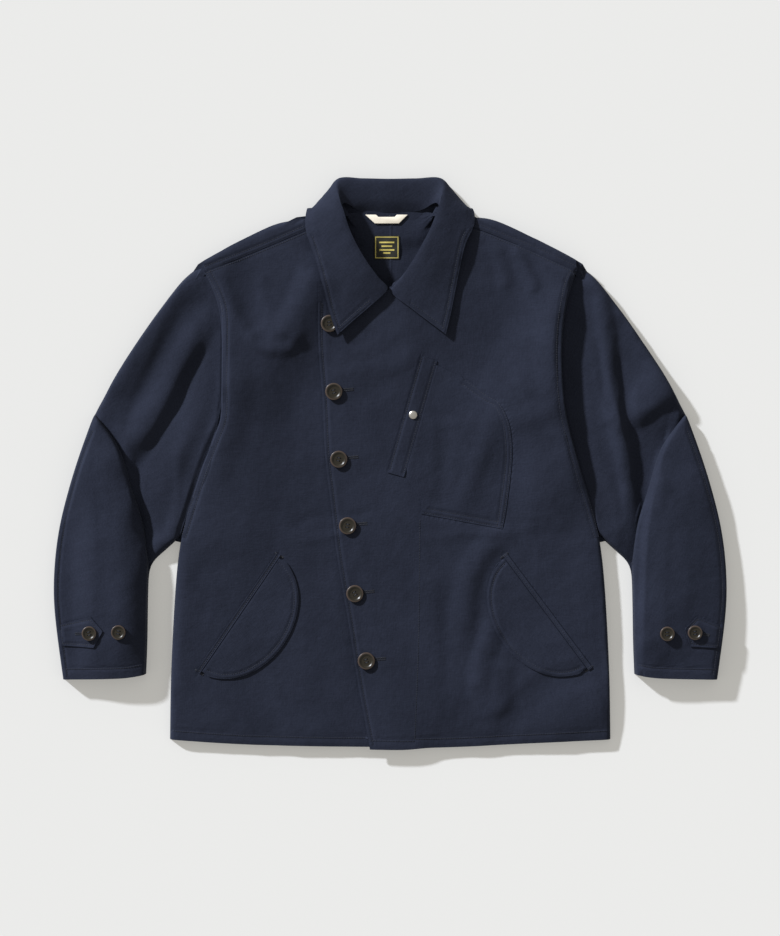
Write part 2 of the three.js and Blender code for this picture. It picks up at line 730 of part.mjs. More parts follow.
function sleeve(side) {
  const columns = spread(170, 8, SLEEVE_ROLL, SLEEVE_ROLL);
  const upperRows = spread(220, 9, 10, 0).map((v) => ({ part: "upper", v }));
  const foreRows = spread(300, 10, ELBOW_ROLL, 0).slice(1).map((v) => ({ part: "forearm", v }));
  const plans = sleevePlans(side, SLEEVE_TUCK);
  const tops = { upper: sleeveSurface(side, "upper"), forearm: sleeveSurface(side, "forearm") };
  add("sleeve_top_" + side, clothWall(columns, [...upperRows, ...foreRows], (u, { part, v }) => {
    const { x, y } = plans[part](u, v);
    return v3(x * sign[side], y, tops[part](x, y));
  }, { face: sign[side], floor: () => REST }));
  const underPlans = sleevePlans(side, -GAP);
  const underRows = [
    ...[0, 0.3, 0.6, 1].map((v) => ({ part: "upper", v })),
    ...[0.2, 0.4, 0.6, 0.8, 1].map((v) => ({ part: "forearm", v })),
  ];
  const underColumns = ARMHOLE_STATIONS.map((t) => 1 - t).reverse();
  add("sleeve_under_" + side, clothWall(underColumns, underRows, (u, { part, v }) => {
    const { x, y } = underPlans[part](u, v);
    return v3(x * sign[side], y, 0);
  }, { face: -sign[side] }));
}

// Collar

function collar() {
  const toRight = (section) =>
    Object.fromEntries(Object.entries(section).map(([line, [x, y, z]]) => [line, [-x, y, z]]));
  const backLeft = BACK_COLLAR.slice(0, -1).reverse();
  const sections = [...RIGHT_COLLAR, ...BACK_COLLAR.map(toRight), ...backLeft, ...[...LEFT_COLLAR].reverse()];
  const lines = ["neck", "roll", "fall", "turn", "edge"].map(
    (name) => new THREE.CatmullRomCurve3(sections.map((s) => v3(...s[name])), false, "centripetal"),
  );
  const columns = Array.from({ length: 37 }, (_, i) => i / 36);
  const rows = Array.from({ length: 13 }, (_, i) => i / 12);
  add("collar", clothWall(columns, rows, (u, v) => {
    const across = lines.map((line) => line.getPoint(u));
    const section = new THREE.CatmullRomCurve3(across, false, "centripetal");
    const point = section.getPoint(v);
    point.z = Math.max(point.z, 0);
    return point;
  }));
}

// Pockets, tabs and small pieces

// A flat piece laid on a surface at a height above it.
function laidOn(surface, plan, lift) {
  return (u, v) => {
    const { x, y } = plan(u, v);
    return v3(x, y, restingHeight(surface, x, y) + lift(u, v));
  };
}

function pocketFlap(side) {
  const { top, bottom, turn } = POCKETS[side];
  const start = new THREE.Vector2(...top);
  const end = new THREE.Vector2(...bottom);
  const half = start.distanceTo(end) / 2;
  const middle = start.clone().lerp(end, 0.5);
  const down = end.clone().sub(start).normalize();
  const out = new THREE.Vector2(-down.y, down.x).multiplyScalar(turn);
  const surface = surfaces[side];
  const flapPlan = (u, v) => {
    const s = FLAP_SWEEP * Math.sin((u - 0.5) * Math.PI);
    const depth = GAP + v * (FLAP_DEPTH * Math.sqrt(1 - s * s) - GAP);
    return middle.clone().addScaledVector(down, s * half).addScaledVector(out, depth);
  };
  const flapLift = (u, v) => REST + FLAP_LIFT * smooth(0.5, 1, v) + LAID_CLEAR;
  const flapRows = [0, 0.3, 0.55, 0.8, 1];
  const flap = laidOn(surface, flapPlan, flapLift);
  add("pocket_flap_" + side, clothWall(spread(1, 12, 0, 0), flapRows, flap, { face: turn }));
  const weltPlan = (u, v) => {
    const place = middle.clone().addScaledVector(down, (u - 0.5) * 2 * (half + WELT_PAST));
    return place.addScaledVector(out, -WELT_WIDTH * (1 - v) - GAP);
  };
  const weltLift = (u, v) => REST + WELT_ROLL * Math.sin(v * Math.PI) + LAID_CLEAR;
  const welt = laidOn(surface, weltPlan, weltLift);
  add("pocket_welt_" + side, clothWall(spread(1, 8, 0, 0), [0, 0.5, 1], welt, { face: turn }));
}

function chestPocket() {
  const surface = surfaces.left;
  const patchPlan = filled({
    left: along(drawn(PATCH_LEFT)),
    right: along(drawn(PATCH_RIGHT)),
    bottom: along([new THREE.Vector2(62, 519), new THREE.Vector2(101.9, 499.4)]),
    top: along([new THREE.Vector2(41.5, 318.5), new THREE.Vector2(150.9, 298.2)]),
  });
  const patch = laidOn(surface, patchPlan, () => REST + LAID_CLEAR);
  add("chest_pocket_patch", clothWall(spread(1, 7, 0, 0), spread(1, 13, 0, 0), patch, { face: -1 }));
  const from = new THREE.Vector2(...BAND.from);
  const to = new THREE.Vector2(...BAND.to);
  const down = to.clone().sub(from).normalize();
  const out = new THREE.Vector2(-down.y, down.x);
  const run = from.distanceTo(to);
  const bandPlan = (u, v) =>
    from.clone().addScaledVector(down, v * run).addScaledVector(out, (u - 0.5) * BAND.width);
  const bandLift = () => 2 * (REST + LAID_CLEAR);
  const laid = laidOn(surface, bandPlan, bandLift);
  add("chest_pocket_band", clothWall([0, 0.33, 0.66, 1], spread(1, 9, 0, 0), laid, { face: -1 }));
  button("snap_cap", (x, y) => restingHeight(surface, x, y) + bandLift(), SNAP_AT, SNAP_CAP, STEEL, 16);
}

// A dished round button seated level over the highest point under it.
function button(name, surface, at, { radius, thick }, material = HORN, sides = 18) {
  let z = -Infinity;
  for (let k = 0; k < 12; k++) {
    const angle = (k * Math.PI) / 6;
    z = Math.max(z, surface(at.x + radius * Math.cos(angle), at.y + radius * Math.sin(angle)));
  }
  z = Math.max(z, surface(at.x, at.y));
  const profile = [
    [0, 0],
    [radius * 0.82, 0],
    [radius, thick * 0.4],
    [radius * 0.97, thick * 0.8],
    [radius * 0.86, thick],
    [radius * 0.68, thick * 0.62],
    [0, thick * 0.55],
  ].map(([r, h]) => new THREE.Vector2(r, h));
  const geometry = new THREE.LatheGeometry(profile, sides).rotateX(Math.PI / 2);
  const mesh = add(name, geometry, material);
  mesh.position.set(at.x, at.y, z + GAP);
}

function cuffTab(side) {
  const { base, point, tabButton, farButton } = CUFF_TABS[side];
  const s = sign[side];
  const top = sleeveSurface(side, "forearm");
  const surface = (x, y) => top(x * s, y);
  const from = new THREE.Vector2(...base);
  const to = new THREE.Vector2(...point);
  const run = from.distanceTo(to);
  const forward = to.clone().sub(from).normalize();
  const out = new THREE.Vector2(-forward.y, forward.x);
  const width = (u) => {
    const { base: narrow, shoulder, point: tip, shoulderAt } = TAB_WIDTH;
    if (u < shoulderAt) return THREE.MathUtils.lerp(narrow, shoulder, u / shoulderAt);
    return THREE.MathUtils.lerp(shoulder, tip, (u - shoulderAt) / (1 - shoulderAt));
  };
  const plan = (u, v) =>
    from.clone().addScaledVector(forward, u * run).addScaledVector(out, (v - 0.5) * 2 * width(u));
  const lift = () => REST + LAID_CLEAR;
  const laid = laidOn(surface, plan, lift);
  const columns = [0, 0.2, 0.4, 0.6, TAB_WIDTH.shoulderAt, 0.87, 1];
  add("cuff_tab_" + side, clothWall(columns, [0, 0.33, 0.66, 1], laid));
  const onTab = (x, y) => restingHeight(surface, x, y) + lift();
  button("cuff_button_" + side + "_tab", onTab, { x: tabButton[0], y: tabButton[1] }, CUFF_BUTTON);
  button("cuff_button_" + side + "_sleeve", surface, { x: farButton[0], y: farButton[1] }, CUFF_BUTTON);
}

function neckPieces() {
  const z = COLLAR_ROOM + REST;
  const outline = new THREE.Shape();
  const { top, bottom, topHalf, bottomHalf, middle, thick } = LOOP;
  outline.moveTo(middle - topHalf, top);
  outline.lineTo(middle - bottomHalf, bottom);
  outline.lineTo(middle + bottomHalf, bottom);
  outline.lineTo(middle + topHalf, top);
  const loop = new THREE.ExtrudeGeometry(outline, { depth: thick, bevelEnabled: false });
  add("hanger_loop", loop, CREAM).position.z = z;
  const label = new THREE.BoxGeometry(LABEL.right - LABEL.left, LABEL.top - LABEL.bottom, LABEL.thick);
  const mesh = add("neck_label", label, BLACK);
  const rise = COLLAR_ROOM * overCollarLeaf(LABEL.top);
  mesh.rotation.x = Math.atan2(rise, LABEL.top - LABEL.bottom);
  const height = REST + (rise + LABEL.thick) / 2 + LAID_CLEAR;
  mesh.position.set((LABEL.left + LABEL.right) / 2, (LABEL.top + LABEL.bottom) / 2, height);
}

frontRight();
frontLeft();
back("right");
back("left");
sleeve("right");
sleeve("left");
collar();
pocketFlap("right");
pocketFlap("left");
chestPocket();
FRONT_BUTTONS.forEach((at, i) => button("front_button_" + (i + 1), surfaces.left, at, FRONT_BUTTON));
cuffTab("right");
cuffTab("left");
neckPieces();

const box = new THREE.Box3().setFromObject(jacket);
jacket.position.set(-(box.min.x + box.max.x) / 2, -(box.min.y + box.max.y) / 2, -box.min.z);

export default jacket;
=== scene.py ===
"""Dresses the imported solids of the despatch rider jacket: cloth with its folds, sewing, buttons and light.

The tables give places in millimetres, x from the middle of the jacket (the wearer's left is +x) and
y up from the lowest point of the hem. place() turns them into metres in the row frame.
"""

import json
import math
from collections import namedtuple

import bpy
import numpy as np
from bpy.props import FloatProperty, FloatVectorProperty, PointerProperty
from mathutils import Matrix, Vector, noise
from mathutils.bvhtree import BVHTree

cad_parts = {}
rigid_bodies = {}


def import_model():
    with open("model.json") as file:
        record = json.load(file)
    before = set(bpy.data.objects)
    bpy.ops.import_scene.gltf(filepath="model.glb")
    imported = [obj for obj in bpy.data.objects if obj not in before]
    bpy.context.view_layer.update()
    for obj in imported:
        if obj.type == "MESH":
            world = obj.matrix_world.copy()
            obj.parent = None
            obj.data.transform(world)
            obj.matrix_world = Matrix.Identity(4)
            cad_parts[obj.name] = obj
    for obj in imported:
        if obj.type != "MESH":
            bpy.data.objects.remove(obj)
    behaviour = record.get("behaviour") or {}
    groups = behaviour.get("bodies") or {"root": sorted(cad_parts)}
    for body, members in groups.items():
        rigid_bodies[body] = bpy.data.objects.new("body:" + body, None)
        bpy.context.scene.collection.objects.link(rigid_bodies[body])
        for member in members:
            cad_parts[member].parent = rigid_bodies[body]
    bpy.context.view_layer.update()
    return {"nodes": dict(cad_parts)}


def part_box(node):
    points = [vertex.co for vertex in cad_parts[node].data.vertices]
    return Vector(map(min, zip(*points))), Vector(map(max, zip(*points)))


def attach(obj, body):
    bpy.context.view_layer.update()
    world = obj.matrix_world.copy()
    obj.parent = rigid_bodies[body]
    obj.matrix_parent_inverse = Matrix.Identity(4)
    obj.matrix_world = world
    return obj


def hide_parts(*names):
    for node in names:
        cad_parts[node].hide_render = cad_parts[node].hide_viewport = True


bl_info = {
    "name": "Rider jacket dresser",
    "version": (1, 0, 0),
    "blender": (4, 5, 0),
    "location": "View3D > Sidebar > Jacket",
    "description": "Cloth, folds, sewing and buttons for the packed solids of a rider jacket",
    "category": "Object",
}

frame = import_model()
NODES = frame["nodes"]
HEM_Y = 385.35
MM = 0.001
GRAIN = "grain"
SIDES = {"right": -1, "left": 1}

# Outlines that the sewing follows. One row is one point.
PLACKET = [(-27.3, 1), (-30.4, 16.5), (-45.3, 95.4), (-56.8, 171), (-71.5, 254.3), (-80, 325),
           (-88.6, 397.6), (-92.1, 473.7), (-97.9, 553.4), (-96.2, 648)]
ARMHOLES = {
    "right": [(-283, 288), (-265, 346), (-251.4, 387), (-237.4, 422), (-228, 450), (-227, 498),
              (-227, 581), (-234, 612), (-250, 643)],
    "left": [(283, 288), (270.7, 331.8), (253.5, 387), (235.9, 456), (230.9, 519), (232.7, 574),
             (241.3, 622.6), (250, 643)],
}
SHOULDER_SEAMS = {
    "right": [(-250, 643), (-180, 670.4), (-112.8, 698.8)],
    "left": [(250, 643), (184, 674), (125, 697.7), (112, 702)],
}
SIDE_SEAM = [(297.5, 14), (297, 62), (296, 108.5), (292.8, 174), (289, 234), (283, 288)]
HEM = [(-297.5, 14), (-242.7, 10), (-193.4, 7.3), (-144, 5.9), (-78, 4.6), (-30, 4.4)]
HEM_OVER = [(-27.3, 1), (33, 0), (34, 2.7), (90.7, 3.9), (156, 7.3), (222, 10.5), (297.5, 14)]
CUFF = [(441.7, 95.4), (386.7, 96.5), (353, 98), (330, 101.9)]
FOREARM_OUTER = [(398.5, 453), (404, 441), (421, 394), (434.5, 350), (444.5, 314), (452, 268),
                 (455, 213), (451.5, 169), (446.5, 130), (441.7, 95.4)]
COLLAR_EDGE = {
    "right": [(-24, 600), (-47, 580), (-70.8, 558.8), (-80.4, 584), (-92, 630), (-104, 672),
              (-114.5, 700)],
    "left": [(25, 597), (50, 578), (74.7, 559.7), (82.4, 592), (92, 642), (101.5, 684),
             (113.5, 706)],
}
PATCH_RIM = [(101.9, 499.4), (127.6, 480.3), (144.9, 470.1), (155.2, 452.8), (161.3, 432.1),
             (163.8, 401.2), (162.1, 371.9), (155.2, 320.2), (150.9, 298.2), (96, 308.5),
             (41.5, 318.5), (43.3, 330.6), (38.8, 342.6), (29.4, 356.4)]
BAND_MIDDLE = [(52, 527.4), (7.3, 371)]
PATCH_MOUTH = [(21.1, 375.3), (61.9, 518.9)]
FACING = [(39.8, 310), (38, 150), (33, 14)]
POCKETS = {
    "right": {"top": (-148.8, 259.7), "bottom": (-254.1, 105.3), "turn": 1, "depth": 71},
    "left": {"top": (153.2, 259.1), "bottom": (264.9, 109.9), "turn": -1, "depth": 71},
}
FRONT_BUTTONS = [(-81.7, 574.2), (-75.8, 482.8), (-69.2, 391.8), (-57.3, 302.4), (-47.6, 211.1),
                 (-32.2, 120.7)]
CUFF_TABS = {
    "right": {"base": (-441.3, 155.7), "point": (-385.1, 161.2), "button": (-403.1, 158.5)},
    "left": {"base": (443, 152.5), "point": (394.5, 163.9), "button": (408.3, 159.3)},
}

# Folds: a path, the width of the flank on its left hand and on its right hand, and the height, in mm.
Fold = namedtuple("Fold", "path left right height")
BODY_FOLDS = [
    Fold([(-228, 470), (-180, 530), (-128, 588)], 92, 92, 7.0),
    Fold([(84, 400), (142, 448), (206, 512)], 90, 72, 4.6),
    Fold([(240, 634), (227, 590), (223, 520), (232, 450), (252, 392), (268, 338)], 9, 36, 5.0),
    Fold([(-236, 640), (-224, 600), (-219, 550), (-213, 500),
          (-220, 440), (-236, 390), (-254, 330)], 36, 13, 2.8),
    Fold([(-204, 646), (-192, 600), (-176, 560)], 26, 22, -4.5),
    Fold([(-98, 648), (-108, 620), (-126, 580), (-142, 548)], 40, 30, 6.4),
    Fold([(-194, 568), (-180, 546), (-160, 538), (-135, 541), (-122, 562)], 12, 12, 2.6),
    Fold([(-192, 655), (-187, 611), (-170, 572)], 24, 24, -1.1),
    Fold([(-212, 540), (-208, 430), (-222, 330), (-236, 240)], 80, 66, 5.3),
    Fold([(-112, 575), (-104, 480), (-94, 400), (-88, 330)], 40, 60, -1.7),
    Fold([(-132, 298), (-101, 314), (-60, 316), (-20, 321)], 9, 9, -1.4),
    Fold([(-122, 283), (-89, 286), (-58, 295)], 9, 9, 1.2),
    Fold([(-96, 275), (-93, 200), (-88, 120), (-96, 40)], 30, 30, -1.3),
    Fold([(-190, 110), (-170, 60), (-152, 14)], 26, 35, -2.6),
    Fold([(-284, 280), (-288, 180), (-290, 60)], 35, 16, 1.8),
    Fold([(-150, 520), (-140, 420), (-150, 320)], 66, 50, 0.7),
    Fold([(-250, 230), (-262, 140), (-262, 40)], 40, 30, -0.5),
    Fold([(242, 640), (228, 600), (217, 540), (224, 480), (234, 430)], 12, 100, 4.0),
    Fold([(228, 450), (248, 395), (270, 325)], 14, 80, 1.9),
    Fold([(164, 680), (180, 650), (198, 612)], 14, 14, 5.0),
    Fold([(142, 684), (152, 650), (156, 616)], 16, 16, 2.4),
    Fold([(178, 470), (192, 420), (200, 360), (196, 290)], 66, 40, 5.2),
    Fold([(90, 314), (105, 350), (118, 390), (130, 425), (141, 456)], 18, 22, 1.5),
    Fold([(66, 318), (73, 380), (72, 452)], 16, 16, -1.0),
    Fold([(154, 288), (124, 264), (108, 232), (102, 192), (96, 148)], 21, 26, 4.2),
    Fold([(140, 176), (129, 140), (118, 110), (116, 74)], 22, 18, 3.4),
    Fold([(150, 14), (176, 55), (220, 90), (290, 112)], 26, 24, -3.4),
    Fold([(212, 12), (250, 45), (296, 66)], 40, 30, 2.4),
    Fold([(146, 124), (142, 80), (152, 42)], 30, 40, 3.8),
    Fold([(56, 307), (109, 295), (160, 296), (204, 300)], 10, 10, 0.9),
    Fold([(56, 286), (110, 291), (166, 289)], 10, 10, 1.3),
    Fold([(-80, 526), (-30, 540), (18, 567), (62, 576)], 16, 16, 0.7),
    Fold([(-92, 504), (-40, 512), (12, 523), (62, 546)], 18, 18, 1.1),
    Fold([(-62, 468), (-18, 485), (30, 502)], 20, 20, -1.3),
    Fold([(60, 562), (80, 500), (90, 436)], 66, 50, -3.8),
    Fold([(0, 300), (-8, 200), (5, 100)], 50, 50, 0.4),
    Fold([(50, 256), (55, 150), (60, 46)], 22, 30, 1.8),
    Fold([(284, 280), (289, 180), (291, 60)], 16, 20, -0.9),
    Fold([(204, 570), (172, 500), (150, 426)], 80, 60, 2.6),
    Fold([(186, 650), (150, 560), (122, 490)], 60, 80, -2.8),
    Fold([(130, 380), (155, 342), (158, 300)], 24, 24, 0.4),
    Fold([(-60, 270), (-45, 179), (-24, 60)], 24, 24, -1.2),
]
SLEEVE_FOLDS = {
    "right": [
        Fold([(-262, 648), (-300, 600), (-330, 556), (-358, 512), (-386, 468)], 38, 28, 6.0),
        Fold([(-264, 612), (-285, 575), (-305, 530), (-325, 485), (-340, 450)], 29, 22, -2.8),
        Fold([(-250, 574), (-265, 546), (-290, 500), (-312, 456), (-330, 418), (-342, 396)], 22, 34, 5.4),
        Fold([(-244, 548), (-256, 495), (-275, 460), (-298, 430), (-318, 395), (-346, 366)], 32, 24, -1.9),
        Fold([(-234, 450), (-250, 380), (-268, 320), (-284, 290)], 12, 75, 2.6),
        Fold([(-312, 400), (-312, 340), (-320, 280)], 30, 40, -5.5),
        Fold([(-394, 457), (-372, 442), (-348, 434)], 10, 10, -0.8),
        Fold([(-392, 430), (-386, 340), (-378, 240), (-374, 100)], 50, 76, 9.0),
        Fold([(-362, 380), (-350, 280), (-350, 180), (-350, 100)], 24, 40, 3.0),
        Fold([(-434, 320), (-438, 210), (-432, 100)], 40, 22, -4.4),
        Fold([(-238, 510), (-242, 465), (-252, 420)], 14, 24, -2.3),
        Fold([(-334, 262), (-308, 285), (-286, 312)], 20, 20, 2.3),
    ],
    "left": [
        Fold([(274, 632), (284, 590), (293, 545), (298, 500), (302, 460),
              (312, 418), (320, 378), (326, 335), (330, 290)], 18, 20, 5.5),
        Fold([(300, 604), (317, 556), (320, 500), (320, 450),
              (334, 410), (350, 380), (352, 336)], 14, 14, -3.0),
        Fold([(276, 550), (284, 511), (290, 478), (302, 446)], 9, 9, -2.8),
        Fold([(312, 446), (338, 456), (362, 472), (392, 490)], 60, 26, 8.0),
        Fold([(300, 604), (334, 559), (358, 512), (386, 472)], 22, 30, 3.3),
        Fold([(262, 606), (256, 540), (258, 480), (266, 430), (280, 380), (298, 316)], 22, 24, -5.5),
        Fold([(270, 606), (268, 540), (272, 470), (286, 400), (302, 326)], 24, 18, -3.7),
        Fold([(386, 470), (368, 430), (350, 390), (338, 340)], 14, 44, -4.5),
        Fold([(368, 400), (348, 300), (342, 200), (340, 110)], 118, 12, 9.0),
        Fold([(354, 336), (343, 240), (345, 140)], 28, 28, -3.4),
        Fold([(434, 320), (433, 210), (432, 100)], 22, 30, 1.6),
        Fold([(322, 566), (330, 499), (346, 456)], 30, 30, -3.7),
    ],
}

# Cloth pieces: CAD node, subdivision level, direction of the grain in degrees, body field or sleeve field
CLOTH = [
    ("front_right_underlap", 3, 0, "body"),
    ("front_left_overlap", 3, 0, "body"),
    ("back_right_panel", 2, 0, "back"),
    ("back_left_panel", 2, 0, "back"),
    ("sleeve_top_right", 3, 24, "right"),
    ("sleeve_top_left", 3, -24, "left"),
    ("sleeve_under_right", 2, 24, "under"),
    ("sleeve_under_left", 2, -24, "under"),
    ("collar", 2, 40, "collar"),
    ("pocket_flap_right", 3, 35, "body"),
    ("pocket_welt_right", 3, 55, "body"),
    ("pocket_flap_left", 3, -35, "body"),
    ("pocket_welt_left", 3, -55, "body"),
    ("chest_pocket_patch", 3, 14, "body"),
    ("chest_pocket_band", 3, 16, "body"),
    ("cuff_tab_right", 3, 5, "right"),
    ("cuff_tab_left", 3, -12, "left"),
]

# How far the air in the jacket lifts the cloth above its CAD form, and the CAD heights between which
# the lift grows, so that what lies on the floor stays there. In mm.
LOFT = 7.0
CUFF_LOFT = 5.0
LOFT_FROM, LOFT_TO = 2.0, 6.5
COLLAR_SAG = {"right": 2.5, "left": 6.5}

# The back corners of the collar's top edge, how far each is pulled out, and from how far, in mm
COLLAR_CORNERS = [(-61, 766, -3.5, 2.2), (59, 766, 3.5, 2.2)]
CORNER_REACH = 24

# Pieces sewn flat on others: what they lie on, their thickness and how far they stand off it, in mm
SEWN_ON = {
    "chest_pocket_patch": (["front_left_overlap"], 1.2, 0.1),
    "chest_pocket_band": (["front_left_overlap"], 1.2, 0.55),
    "pocket_welt_right": (["front_right_underlap"], 1.8, 0.7),
    "pocket_welt_left": (["front_left_overlap"], 1.6, 0.4),
    "pocket_flap_right": (["front_right_underlap"], 1.8, 0.6),
    "pocket_flap_left": (["front_left_overlap"], 1.8, 0.6),
    "cuff_tab_right": (["sleeve_top_right"], 1.8, 0.5),
    "cuff_tab_left": (["sleeve_top_left"], 1.8, 0.5),
}

# How far a sewn-on piece's underside sinks into what it lies on, in mm
SUNK = 0.3


# A ridge's points across, as shares of its half width, and their heights: shares of its own or mm sunk
RIDGE_ACROSS = (-1, -0.55, 0, 0.55, 1)
RIDGE_RISE = (-0.25, 0.75, 1, 0.75, -0.25)

# Seam allowances: rows up the neck seam with their heights off the back, the ring that closes a
# shoulder point, and the line of an underarm. In mm.
NECK_ROWS = [(708, -1.2), (716, 0.4), (728, 1.8), (744, 3.6)]
SHOULDER_POINT = [(243, 661), (250, 659.5), (258.6, 654), (266, 645), (262, 634), (251, 638), (243, 648)]
UNDERARM = [(285, 280), (281, 297), (270.7, 331.8), (262, 360)]

# Buttons: the radius and thickness of each kind, and the holes' places and radius, in metres
BUTTONS = {"front": (0.0115, 0.0034), "cuff": (0.0097, 0.003)}
HOLE_OUT = 0.0028
HOLE_RADIUS = 0.00095

# The steps of the snap cap's dome: each ring's width and rise, in metres
SNAP_DOME = [(0.0008, 0.0006), (0.0012, 0.0004), (0.0014, 0.0002), (0.0010, 0.00005)]

# How high a stitch's thread lies on the cloth, the highest step that a stitch crosses and the lowest
# cloth that is sewn, in metres
STITCH_LIFT = Vector((0, 0, 0.00015))
SATIN_LIFT = Vector((0, 0, 0.0002))
STITCH_STEP = 0.0016
SATIN_STEP = 0.002
SEWN_FROM = 0.0012

# How far from a line of sewing the cloth is rubbed and puckered, in mm
SEAM_REACH = 4.0

LOOP_OUTLINE = [(-20.6, 709.6), (11.7, 709.6), (23.7, 721.5), (9, 721.5), (6, 718.5), (-16, 718.5),
                (-19, 721.5), (-33.8, 721.5)]

# The label's bars: their heights and ends as shares of its length and width
LABEL_BARS = [(0.72, 0.2, 0.8), (0.56, 0.28, 0.72), (0.4, 0.2, 0.8), (0.27, 0.36, 0.64)]


# The camera's place and lens, and where the sun comes from in plan and how wide it is
CAMERA_AT = (-0.0003, -0.0055, 2.9885)
LENS, SENSOR = 85, 36
SUN_FROM = (-0.743, 0.669)
SUN_WIDTH = math.radians(3.5)


def place(x, y, z=0.0):
    """A point of the tables in the row frame, in metres."""
    return Vector((x * MM, (y - HEM_Y) * MM, z))


def smooth(low, high, x):
    """0 below low, 1 above high, and a soft step between them."""
    t = np.clip((np.asarray(x, float) - low) / (high - low), 0, 1)
    return t * t * (3 - 2 * t)


def mirrored(points, side):
    """Points that the tables give for the wearer's left, on either side."""
    return [(x * SIDES[side], y) for x, y in points]


def drawn(points, spacing=2.0):
    """A smooth line through points, as closely spaced plan points in mm."""
    pts = np.array([p[:2] for p in points], float)
    if len(pts) > 2:
        ends = np.vstack([2 * pts[0] - pts[1], pts, 2 * pts[-1] - pts[-2]])
        runs = []
        for p0, p1, p2, p3 in zip(ends, ends[1:], ends[2:], ends[3:]):
            t = np.linspace(0, 1, max(2, int(np.linalg.norm(p2 - p1) / 3)), endpoint=False)[:, None]
            runs.append(0.5 * (2 * p1 + (p2 - p0) * t + (2 * p0 - 5 * p1 + 4 * p2 - p3) * t ** 2
                               + (3 * p1 - p0 - 3 * p2 + p3) * t ** 3))
        pts = np.vstack([*runs, pts[-1:]])
    return spaced(pts, spacing)


def spaced(pts, spacing):
    """The same line in equal steps close to spacing."""
    pts = np.asarray(pts, float)
    steps = np.hypot(*np.diff(pts, axis=0).T)
    run = np.concatenate([[0], np.cumsum(steps)])
    marks = np.linspace(0, run[-1], max(2, int(round(run[-1] / spacing)) + 1))
    return np.column_stack([np.interp(marks, run, pts[:, k]) for k in (0, 1)])


def beside(pts, distance):
    """A line at a distance to the left of pts, seen along it."""
    along = np.gradient(pts, axis=0)
    along /= np.linalg.norm(along, axis=1)[:, None]
    return pts + distance * np.column_stack([-along[:, 1], along[:, 0]])


def part_of(pts, start, end):
    """The part of a line between two shares of its points."""
    count = len(pts)
    return pts[int(start * count):max(int(end * count), int(start * count) + 2)]


def from_line(pts, xy):
    """For each place: its distance from a line, positive on the line's left, and its share along it."""
    best = np.full(len(xy), 1e9)
    side = np.ones(len(xy))
    share = np.zeros(len(xy))
    run = np.concatenate([[0], np.cumsum(np.hypot(*np.diff(pts, axis=0).T))])
    for k, (a, b) in enumerate(zip(pts, pts[1:])):
        d = b - a
        length = d @ d
        t = np.clip(((xy - a) @ d) / length, 0, 1)
        gap = xy - a - t[:, None] * d
        far = np.hypot(gap[:, 0], gap[:, 1])
        near = far < best
        best = np.where(near, far, best)
        side = np.where(near, np.sign(d[0] * gap[:, 1] - d[1] * gap[:, 0]), side)
        share = np.where(near, (run[k] + t * math.sqrt(length)) / run[-1], share)
    return best * np.where(side == 0, 1, side), share


def fold_height(folds, xy):
    """The height that the folds add at each place, in mm."""
    total = np.zeros(len(xy))
    for fold in folds:
        far, share = from_line(drawn(fold.path, 6), xy)
        t = np.clip(np.abs(far) / np.where(far > 0, fold.left, fold.right), 0, 1)
        ends = smooth(0, 0.16, share) * smooth(1, 0.84, share)
        total += fold.height * (1 - t * t) ** 2 * (0.35 + 0.65 * ends)
    return total


def only(obj):
    """Selects one object alone and makes it the active one."""
    bpy.ops.object.select_all(action="DESELECT")
    obj.select_set(True)
    bpy.context.view_layer.objects.active = obj


def new_piece(name, data):
    """An object for a mesh, light or camera, in the scene and at the origin."""
    obj = bpy.data.objects.new(name, data)
    bpy.context.scene.collection.objects.link(obj)
    return obj


def mesh_piece(name, verts, faces):
    """A piece made of its points and faces, selected alone."""
    mesh = bpy.data.meshes.new(name)
    mesh.from_pydata(verts, [], faces)
    mesh.update()
    obj = new_piece(name, mesh)
    only(obj)
    return obj


def finish_modifier(obj, name):
    """Applies a modifier of a piece."""
    only(obj)
    bpy.ops.object.modifier_apply(modifier=name)


def bevel_edges(obj, width, segments, sharper_than=30):
    """Rounds the edges of a piece that are sharper than an angle in degrees."""
    bevel = obj.modifiers.new("edges", "BEVEL")
    bevel.width = width
    bevel.segments = segments
    bevel.limit_method = "ANGLE"
    bevel.angle_limit = math.radians(sharper_than)
    finish_modifier(obj, "edges")


def turn_faces_out():
    """Turns the faces of the selected piece to the same side, outward or up."""
    bpy.ops.object.mode_set(mode="EDIT")
    bpy.ops.mesh.select_all(action="SELECT")
    bpy.ops.mesh.normals_make_consistent(inside=False)
    bpy.ops.object.mode_set(mode="OBJECT")


def cloth_copy(node, level):
    """A finely divided copy of a cloth solid, with its sharp edges kept."""
    obj = new_piece("cloth_" + node, NODES[node].data.copy())
    obj.data.materials.clear()
    only(obj)
    bpy.ops.mesh.customdata_custom_splitnormals_clear()
    bpy.ops.object.mode_set(mode="EDIT")
    bpy.ops.mesh.select_mode(type="EDGE")
    bpy.ops.mesh.select_all(action="SELECT")
    bpy.ops.mesh.remove_doubles(threshold=1e-5)
    bpy.ops.mesh.select_all(action="DESELECT")
    bpy.ops.object.mode_set(mode="OBJECT")
    select_diagonals(obj.data)
    bpy.ops.object.mode_set(mode="EDIT")
    bpy.ops.mesh.dissolve_edges(use_verts=False)
    bpy.ops.mesh.select_all(action="DESELECT")
    bpy.ops.mesh.edges_select_sharp(sharpness=math.radians(55))
    bpy.ops.transform.edge_crease(value=1)
    bpy.ops.object.mode_set(mode="OBJECT")
    refine = obj.modifiers.new("refine", "SUBSURF")
    refine.levels = refine.render_levels = level
    finish_modifier(obj, "refine")
    bpy.ops.object.shade_smooth_by_angle(angle=math.radians(50))
    return obj


